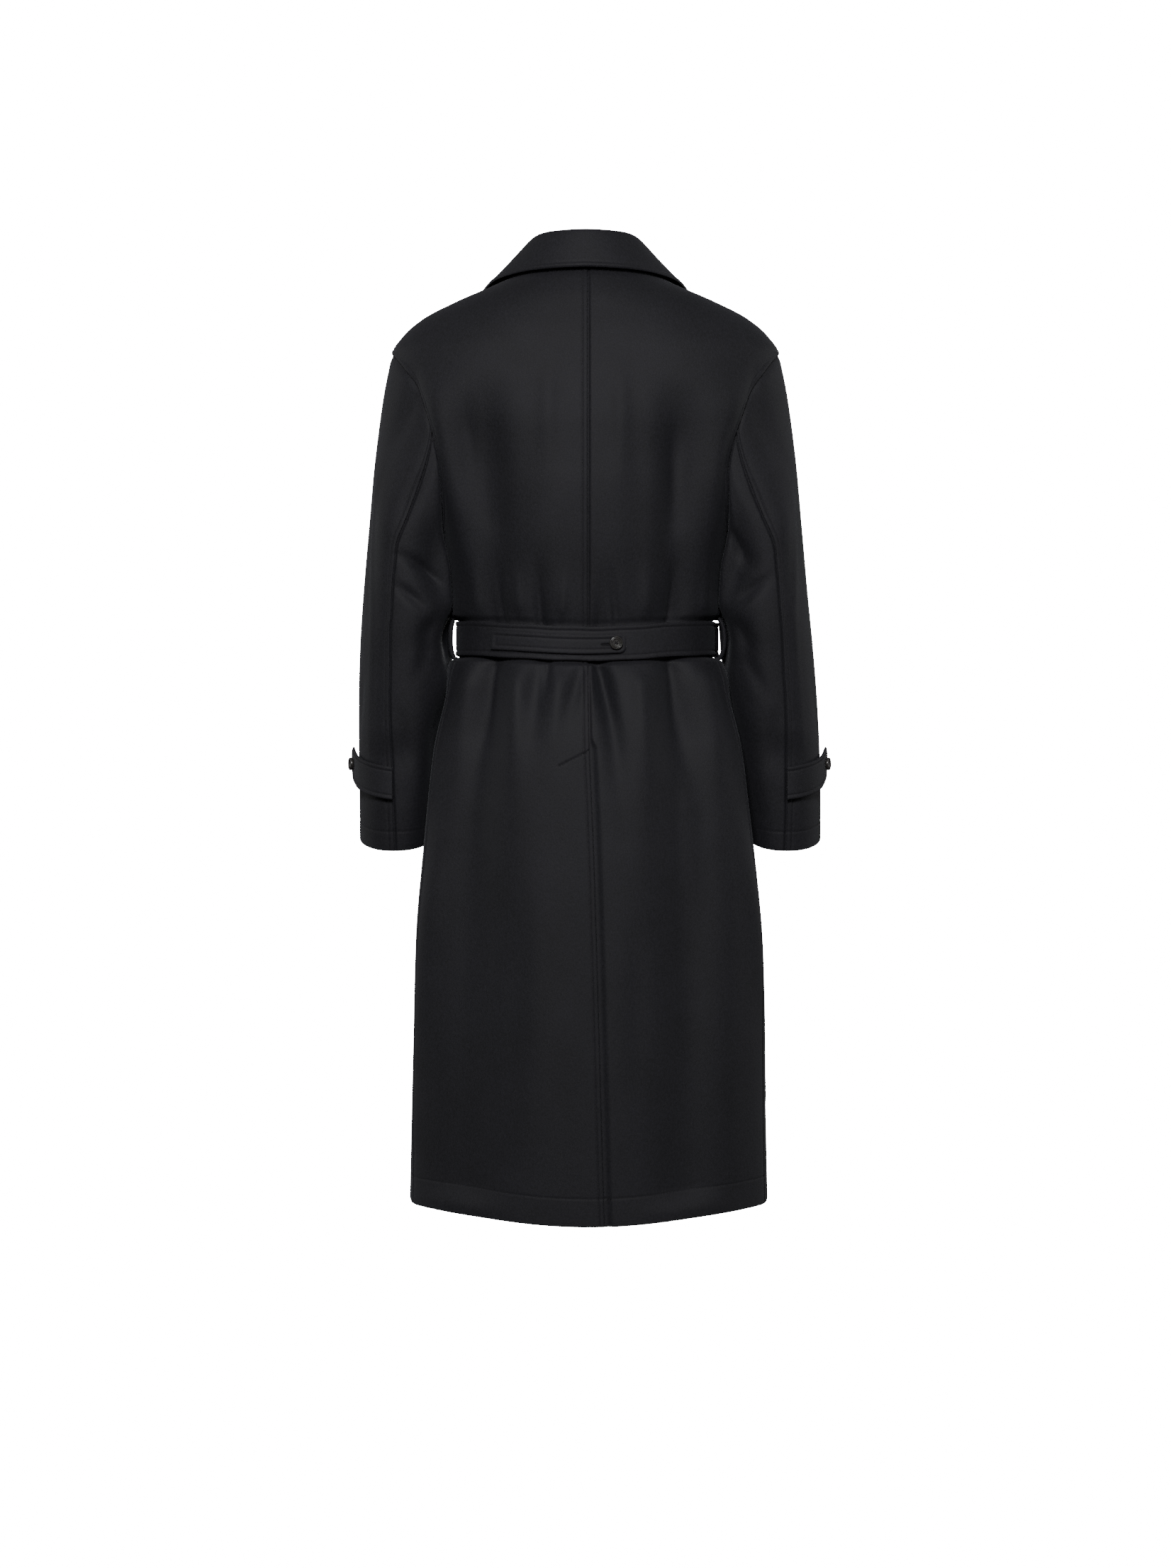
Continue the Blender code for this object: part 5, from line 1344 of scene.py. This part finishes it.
# Belt loops: narrow folded strips of wool, sewn to the side seams above and below the belt, which
# runs through them with room to spare.

LOOP_WIDTH = 0.011
LOOP_STAND_OFF = {1: 0.0080, -1: 0.0125}
LOOP_THICK = 0.0050
LOOP_ROUNDNESS = 0.55
LOOP_SPREAD = 0.35
LOOP_REACH = 0.0242
LOOP_TURN = math.radians(86)
LOOP_STITCH_IN = 0.003

for side, word in SIDES:
    climb = np.linspace(-math.pi / 2, math.pi / 2, 61)[:, None]
    over = LOOP_WIDTH / 2 * np.linspace(-1, 1, 21)[None, :]
    height = BELT_HEIGHT + LOOP_REACH * np.sin(climb)
    turn = side * LOOP_TURN + over / read_column(BODY_SECTIONS, "half_width", BELT_HEIGHT)
    bulge = LOOP_STAND_OFF[side] * np.maximum(np.cos(climb), 0) ** LOOP_ROUNDNESS
    inner = body(turn, height, 3 * LAY_GAP + bulge)
    sideways = (np.cos(climb) + LOOP_SPREAD) * side
    direction = unit(np.stack(np.broadcast_arrays(sideways, 0.0, np.sin(climb) ** 3), axis=-1))
    direction = np.broadcast_to(direction, inner.shape)
    loop_edge = LOOP_WIDTH / 2 - np.abs(over) + 0 * climb
    loop_points = inner + direction * (LOOP_THICK + topstitched(loop_edge, LOOP_STITCH_IN))[..., None]
    loop = add_cloth(f"belt_loop_{word}", loop_points, direction, loop_edge, LOOP_THICK)


# Pocket welts: slanted strips of doubled wool, sewn over the mouths of the hip pockets on both fronts
# and topstitched along three sides.

WELT_TOP = -0.572
WELT_LENGTH = 0.165
WELT_WIDTH = 0.034
WELT_TURN_TOP = 93
WELT_TURN_FOOT = 112
WELT_STITCH_IN = 0.005
WELT_COLUMNS = 10
WELT_ROWS = 50
# Its stitches, as shares of its length and width: one long line and a short one near each end
WELT_SEWN_DOWN = np.linspace(0.04, 0.96, 120)
WELT_SEWN_ACROSS = np.linspace(0.15, 0.85, 20)
WELT_SEWN_ENDS = (0.03, 0.97)


def welt_edge(down, across):
    """Distance to the nearest edge of a welt."""
    return np.minimum(WELT_WIDTH * np.minimum(across, 1 - across), WELT_LENGTH * np.minimum(down, 1 - down))


def welt_face(down, across, side):
    """A welt's outer face: a slanted strip of the front's own surface, moved out by its gap and its wall."""
    height = WELT_TOP - WELT_LENGTH * down
    slant = np.radians(WELT_TURN_TOP + (WELT_TURN_FOOT - WELT_TURN_TOP) * down)
    turn = slant + across * WELT_WIDTH / read_column(BODY_SECTIONS, "half_width", WELT_TOP)
    sewn = topstitched(welt_edge(down, across), WELT_STITCH_IN)
    return body(side * turn, height, 4 * LAY_GAP + WALL + sewn)


for side, word in SIDES:
    across = edged(0, 1, NEAR_EDGE[:-2] / WELT_WIDTH, WELT_COLUMNS)[None, :]
    down = edged(0, 1, NEAR_EDGE[:-2] / WELT_LENGTH, WELT_ROWS)[:, None]
    face = partial(welt_face, side=side)
    points = face(down, across)
    welt = add_cloth(f"pocket_welt_{word}", points, away_from(points, 0.0), welt_edge(down, across), WALL)
    sewing_welt = sew(f"sewing_welt_{word}", [
        line_on(face, WELT_SEWN_DOWN, 1 - WELT_STITCH_IN / WELT_WIDTH, side),
        *[line_on(face, end, WELT_SEWN_ACROSS, side) for end in WELT_SEWN_ENDS],
    ])


# Buttons: turned from a black horn-like resin, with a rounded rim, a groove, a dished middle and four
# holes, sewn on with crossed thread. Small ones on the belt and tabs, large ones on the front.

SMALL_BUTTON = 0.0168
LARGE_BUTTON = 0.0280
BUTTON_THICK = 0.0042
BUTTON_ROWS = (-0.345, -0.425, -0.600)
BUTTON_COLUMN = 0.062
FRONT_BUTTON_GAP = 0.0002
BELT_BUTTON_BACK = -0.0375
BELT_BUTTON_FRONT = -0.045
TAB_BUTTON = 1.56
BUTTON_SIDES = 72
BUTTON_RINGS = np.concatenate([np.linspace(0, 0.30, 26)[:-1], np.linspace(0.30, 0.88, 44), [1.0]])[:, None]
# Four holes, as shares of the radius and a depth, and two bars of two threads each across them
HOLE_OUT = 0.22
HOLE_RADIUS = 0.105
HOLE_WALL = 0.5
HOLE_DEPTH = 0.0016
HOLES_WITHIN = 0.4
BAR_REACH = 1.1
BAR_APART = 0.00022
BAR_SIDES = np.array([[1], [-1], [1], [-1]])
THREAD_LIFT = 0.0002
# Buttonholes: their lengths, their places beside the buttons, and their stitches
STRAP_SLIT = 0.019
STRAP_SLIT_AT = -0.0295
FRONT_SLIT = 0.030
FRONT_SLIT_OUT = 0.004
SLIT_PITCH = 0.00055
SLIT_REACH = 0.0011
SLIT_STITCH_LENGTH = 0.0021
SLIT_STITCH_THICK = 0.0006
# The button's profile, as shares of its radius and thickness, from the middle over the rim to its back
ButtonPoint = namedtuple("ButtonPoint", "along across up")
BUTTON_PROFILE = [
    ButtonPoint(0.00, 0.0, 0.56),
    ButtonPoint(0.30, 0.46, 0.56),
    ButtonPoint(0.36, 0.54, 0.66),
    ButtonPoint(0.42, 0.61, 0.82),
    ButtonPoint(0.46, 0.66, 0.82),
    ButtonPoint(0.51, 0.72, 0.70),
    ButtonPoint(0.56, 0.78, 0.84),
    ButtonPoint(0.62, 0.86, 1.0),
    ButtonPoint(0.68, 0.93, 0.96),
    ButtonPoint(0.75, 1.0, 0.56),
    ButtonPoint(0.82, 0.95, 0.16),
    ButtonPoint(0.86, 0.86, 0.0),
    ButtonPoint(1.00, 0.0, 0.0),
]

HORN_DARK = (0.010, 0.0095, 0.009, 1.0)
HORN_PALE = (0.040, 0.037, 0.034, 1.0)
HORN_LOOK = {"Coat Weight": 0.3, "Coat Roughness": 0.12}
HORN_SWIRL = {"Scale": 260.0, "Detail": 5.0, "Roughness": 0.6, "Distortion": 1.8}
HORN_POLISH = {"To Min": 0.22, "To Max": 0.38}
horn, tree = new_finish("black_horn", HORN_LOOK)
place = add_node(tree, "ShaderNodeTexCoord", "Object", {})
swirl = add_node(tree, "ShaderNodeTexNoise", "Fac", {"Vector": place, **HORN_SWIRL})
dress(tree, {
    "Base Color": add_tint(tree, swirl, HORN_DARK, HORN_PALE),
    "Roughness": add_node(tree, "ShaderNodeMapRange", "Result", {"Value": swirl, **HORN_POLISH}),
})


def button_axes(outward):
    """Two directions across a button, the second as upright as its axis allows."""
    level = unit(np.cross([0.0, 0.0, 1.0], outward))
    return level, np.cross(outward, level)


def add_button(name, diameter, seat, outward):
    """A button: its profile carried round its axis, with four round pits in its middle, and its thread."""
    outward = unit(np.asarray(outward, float))
    level, upright = button_axes(outward)
    radius = diameter / 2
    angle = np.linspace(0, 2 * math.pi, BUTTON_SIDES, endpoint=False)[None, :]
    across, up = read_row(BUTTON_PROFILE, BUTTON_RINGS, "along")
    right, high = across * np.cos(angle), across * np.sin(angle)
    hole_at = HOLE_OUT * math.sqrt(0.5)
    hole = np.hypot(np.abs(right) - hole_at, np.abs(high) - hole_at)
    pit = HOLE_DEPTH * ease((HOLE_RADIUS - hole) / (HOLE_WALL * HOLE_RADIUS)) * (BUTTON_RINGS < HOLES_WITHIN)
    rise = BUTTON_THICK * up - pit
    points = seat + radius * (right[..., None] * level + high[..., None] * upright)
    points = points + rise[..., None] * outward
    count = len(BUTTON_RINGS)
    index = 1 + np.arange((count - 2) * BUTTON_SIDES).reshape(count - 2, BUTTON_SIDES)
    onward = np.roll(index, -1, axis=1)
    last = 1 + index.size
    walls = np.stack([index[:-1], index[1:], onward[1:], onward[:-1]], axis=-1).reshape(-1, 4)
    fan = np.stack([np.zeros(BUTTON_SIDES, int), index[0], onward[0]], axis=-1)
    back = np.stack([np.full(BUTTON_SIDES, last), onward[-1], index[-1]], axis=-1)
    points = np.concatenate([points[0, :1], points[1:-1].reshape(-1, 3), points[-1, :1]])
    made = add_mesh(name, points, walls.tolist() + fan.tolist() + back.tolist(), horn)
    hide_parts(name)
    bars = np.repeat(np.array([level + upright, level - upright]) * math.sqrt(0.5), 2, axis=0)
    beside = np.cross(bars, outward) * BAR_SIDES * BAR_APART
    middle = seat + outward * (BUTTON_THICK * BUTTON_PROFILE[0].up + THREAD_LIFT) + beside
    reach = HOLE_OUT * radius * 2 * BAR_REACH
    add_stitches("thread_" + name, middle, bars, np.broadcast_to(outward, bars.shape), reach, STITCH_THICK)


def add_buttonhole(name, centre, along, outward, length):
    """A worked buttonhole: short stitches laid side by side across a long oval round the slit."""
    half = length / 2
    across = np.cross(outward, along)
    straight = np.arange(-half, half, SLIT_PITCH)
    turned = np.linspace(-math.pi / 2, math.pi / 2, 6)
    end = SLIT_REACH * np.cos(turned)
    rise = SLIT_REACH * np.sin(turned)
    at = np.concatenate([straight, half + end, straight[::-1], -half - end])
    beside = np.full_like(straight, SLIT_REACH)
    off = np.concatenate([-beside, rise, beside, -rise])
    lean = np.clip((np.abs(at) - half) / SLIT_REACH, 0, 1) * np.sign(at)
    middle = centre + at[:, None] * along + off[:, None] * across
    pointing = unit(lean[:, None] * along + (off / SLIT_REACH)[:, None] * across)
    add_stitches(name, middle, pointing, np.broadcast_to(outward, middle.shape),
                 SLIT_STITCH_LENGTH, SLIT_STITCH_THICK)


def belt_button_seat(x, front, lift):
    """Where a button or its slit sits on the belt: a point of the band, its outward direction and run."""
    turn = turn_at_width(x, BELT_HEIGHT, front=front)
    small = 1e-3
    along = band(turn + small, 0.0, lift) - band(turn - small, 0.0, lift)
    return band(turn, 0.0, lift), unit(np.array([-along[1], along[0], 0.0])), unit(along)


back_seat, back_out, _ = belt_button_seat(BELT_BUTTON_BACK, False, 4 * LAY_GAP + BELT_THICK + WALL)
add_button("button_belt_back", SMALL_BUTTON, back_seat, back_out)
slit, slit_out, slit_along = belt_button_seat(STRAP_SLIT_AT, False, STRAP_SEAT + WALL + THREAD_LIFT)
add_buttonhole("buttonhole_strap", slit - np.array([0, 0, STRAP_DROP]), slit_along, slit_out, STRAP_SLIT)
front_seat, front_out, _ = belt_button_seat(BELT_BUTTON_FRONT, True, 4 * LAY_GAP + 2 * BELT_THICK + LAYER)
add_button("button_belt_front", SMALL_BUTTON, front_seat, front_out)

for side, word in SIDES:
    run = np.array(TAB_BUTTON)
    tab_seat = tab_path(run, TAB_GAP + DOUBLE_WALL + 2 * LAY_GAP, side)
    tab_out = unit(tab_path(run, TAB_GAP + 10 * WALL, side) - tab_seat)
    add_button(f"button_tab_{word}", SMALL_BUTTON, tab_seat * MIRROR[side], tab_out * MIRROR[side])

for row, height in enumerate(BUTTON_ROWS, 1):
    for side, word in SIDES:
        turn = turn_at_width(side * BUTTON_COLUMN, height, front=True)
        spot, outward = line_on(lapped_body, turn, height)
        spot = spot + outward * (FURROW + FRONT_BUTTON_GAP)
        add_button(f"button_front_{row}_{word}", LARGE_BUTTON, spot, outward)
        if side < 0:
            slit_turn = turn_at_width(-BUTTON_COLUMN - FRONT_SLIT_OUT, height, front=True)
            slit, slit_out = line_on(lapped_body, slit_turn, height)
            slit = slit + slit_out * (FURROW + THREAD_LIFT)
            add_buttonhole(f"buttonhole_front_{row}", slit, button_axes(slit_out)[0], slit_out, FRONT_SLIT)


# Studio: a white floor and a white dome that only the camera sees, soft panels of light behind and
# above the camera and weaker ones on the far side, and the camera behind the coat, level with its middle.

FLOOR = -1.603
CAMERA_DISTANCE = 5.0
CAMERA_HEIGHT = -0.655
LENS = 88.4

camera_data = bpy.data.cameras.new("camera")
camera_data.lens = LENS
camera = bpy.data.objects.new("camera", camera_data)
camera.location = (0.0, CAMERA_DISTANCE, CAMERA_HEIGHT)
camera.rotation_euler = (math.radians(90), 0.0, math.radians(180))
bpy.context.scene.collection.objects.link(camera)
bpy.context.scene.camera = camera

DOME_RADIUS = 14.0
FLOOR_RADIUS = 6.0
POLE = 0.01
WHITE_GLOW = 20.0
# Plain white paper, lit so evenly that it shows no shade
PAPER_LOOK = {
    "Base Color": (0.9, 0.9, 0.9, 1.0),
    "Emission Color": (1.0, 1.0, 1.0, 1.0),
    "Emission Strength": WHITE_GLOW,
}


def add_stage(name, x, y, z):
    """A closed ring of quads from a grid of points, seen by the camera alone and casting no light."""
    points = np.stack(np.broadcast_arrays(x, y, z), axis=-1)
    index = np.arange(points.shape[0] * points.shape[1]).reshape(points.shape[:2])
    onward = np.roll(index, -1, axis=1)
    faces = np.stack([index[:-1], index[1:], onward[1:], onward[:-1]], axis=-1).reshape(-1, 4)
    mesh = bpy.data.meshes.new(name)
    mesh.from_pydata(points.reshape(-1, 3).tolist(), [], faces.tolist())
    mesh.materials.append(new_finish(name, PAPER_LOOK)[0])
    made = bpy.data.objects.new(name, mesh)
    made.visible_diffuse = False
    made.visible_glossy = False
    made.visible_shadow = False
    bpy.context.scene.collection.objects.link(made)


around = np.linspace(0, 2 * math.pi, 48, endpoint=False)[None, :]
reach = np.linspace(POLE, FLOOR_RADIUS, 6)[:, None]
add_stage("studio_floor", reach * np.cos(around), reach * np.sin(around), FLOOR)
lean = np.linspace(POLE, math.pi - POLE, 24)[:, None]
reach = DOME_RADIUS * np.sin(lean)
add_stage("studio_dome", reach * np.cos(around), reach * np.sin(around), DOME_RADIUS * np.cos(lean))

# Each light is a soft panel: where it stands, where it points, its size and its power
SoftLight = namedtuple("SoftLight", "name place target size power")
LIGHTS = [
    SoftLight("key", (0.2, 3.1, 0.85), (0.0, 0.0, -0.45), 0.9, 96.0),
    SoftLight("fill", (-2.4, 3.4, 0.4), (0.0, 0.0, -0.6), 1.6, 12.0),
    SoftLight("top", (0.0, 1.2, 2.8), (0.0, 0.0, -0.4), 2.2, 8.0),
    SoftLight("front", (-0.6, -3.6, -0.1), (0.0, 0.0, -0.6), 1.6, 30.0),
    SoftLight("side_left", (3.6, -0.9, 0.2), (0.0, 0.0, -0.6), 2.4, 34.0),
    SoftLight("side_right", (-3.6, -0.9, 0.2), (0.0, 0.0, -0.6), 2.4, 34.0),
]
for light in LIGHTS:
    lamp = bpy.data.lights.new(light.name, "AREA")
    lamp.shape = "SQUARE"
    lamp.size = light.size
    lamp.energy = light.power
    holder = bpy.data.objects.new(light.name, lamp)
    holder.location = light.place
    holder.visible_camera = False
    aim = unit(np.array(light.target) - np.array(light.place))
    holder.rotation_euler = (math.acos(-aim[2]), 0.0, math.atan2(-aim[0], aim[1]))
    bpy.context.scene.collection.objects.link(holder)

AMBIENT = 0.06
world = bpy.data.worlds.new("studio")
world.use_nodes = True
world.node_tree.nodes["Background"].inputs["Color"].default_value = (1.0, 1.0, 1.0, 1.0)
world.node_tree.nodes["Background"].inputs["Strength"].default_value = AMBIENT
bpy.context.scene.world = world
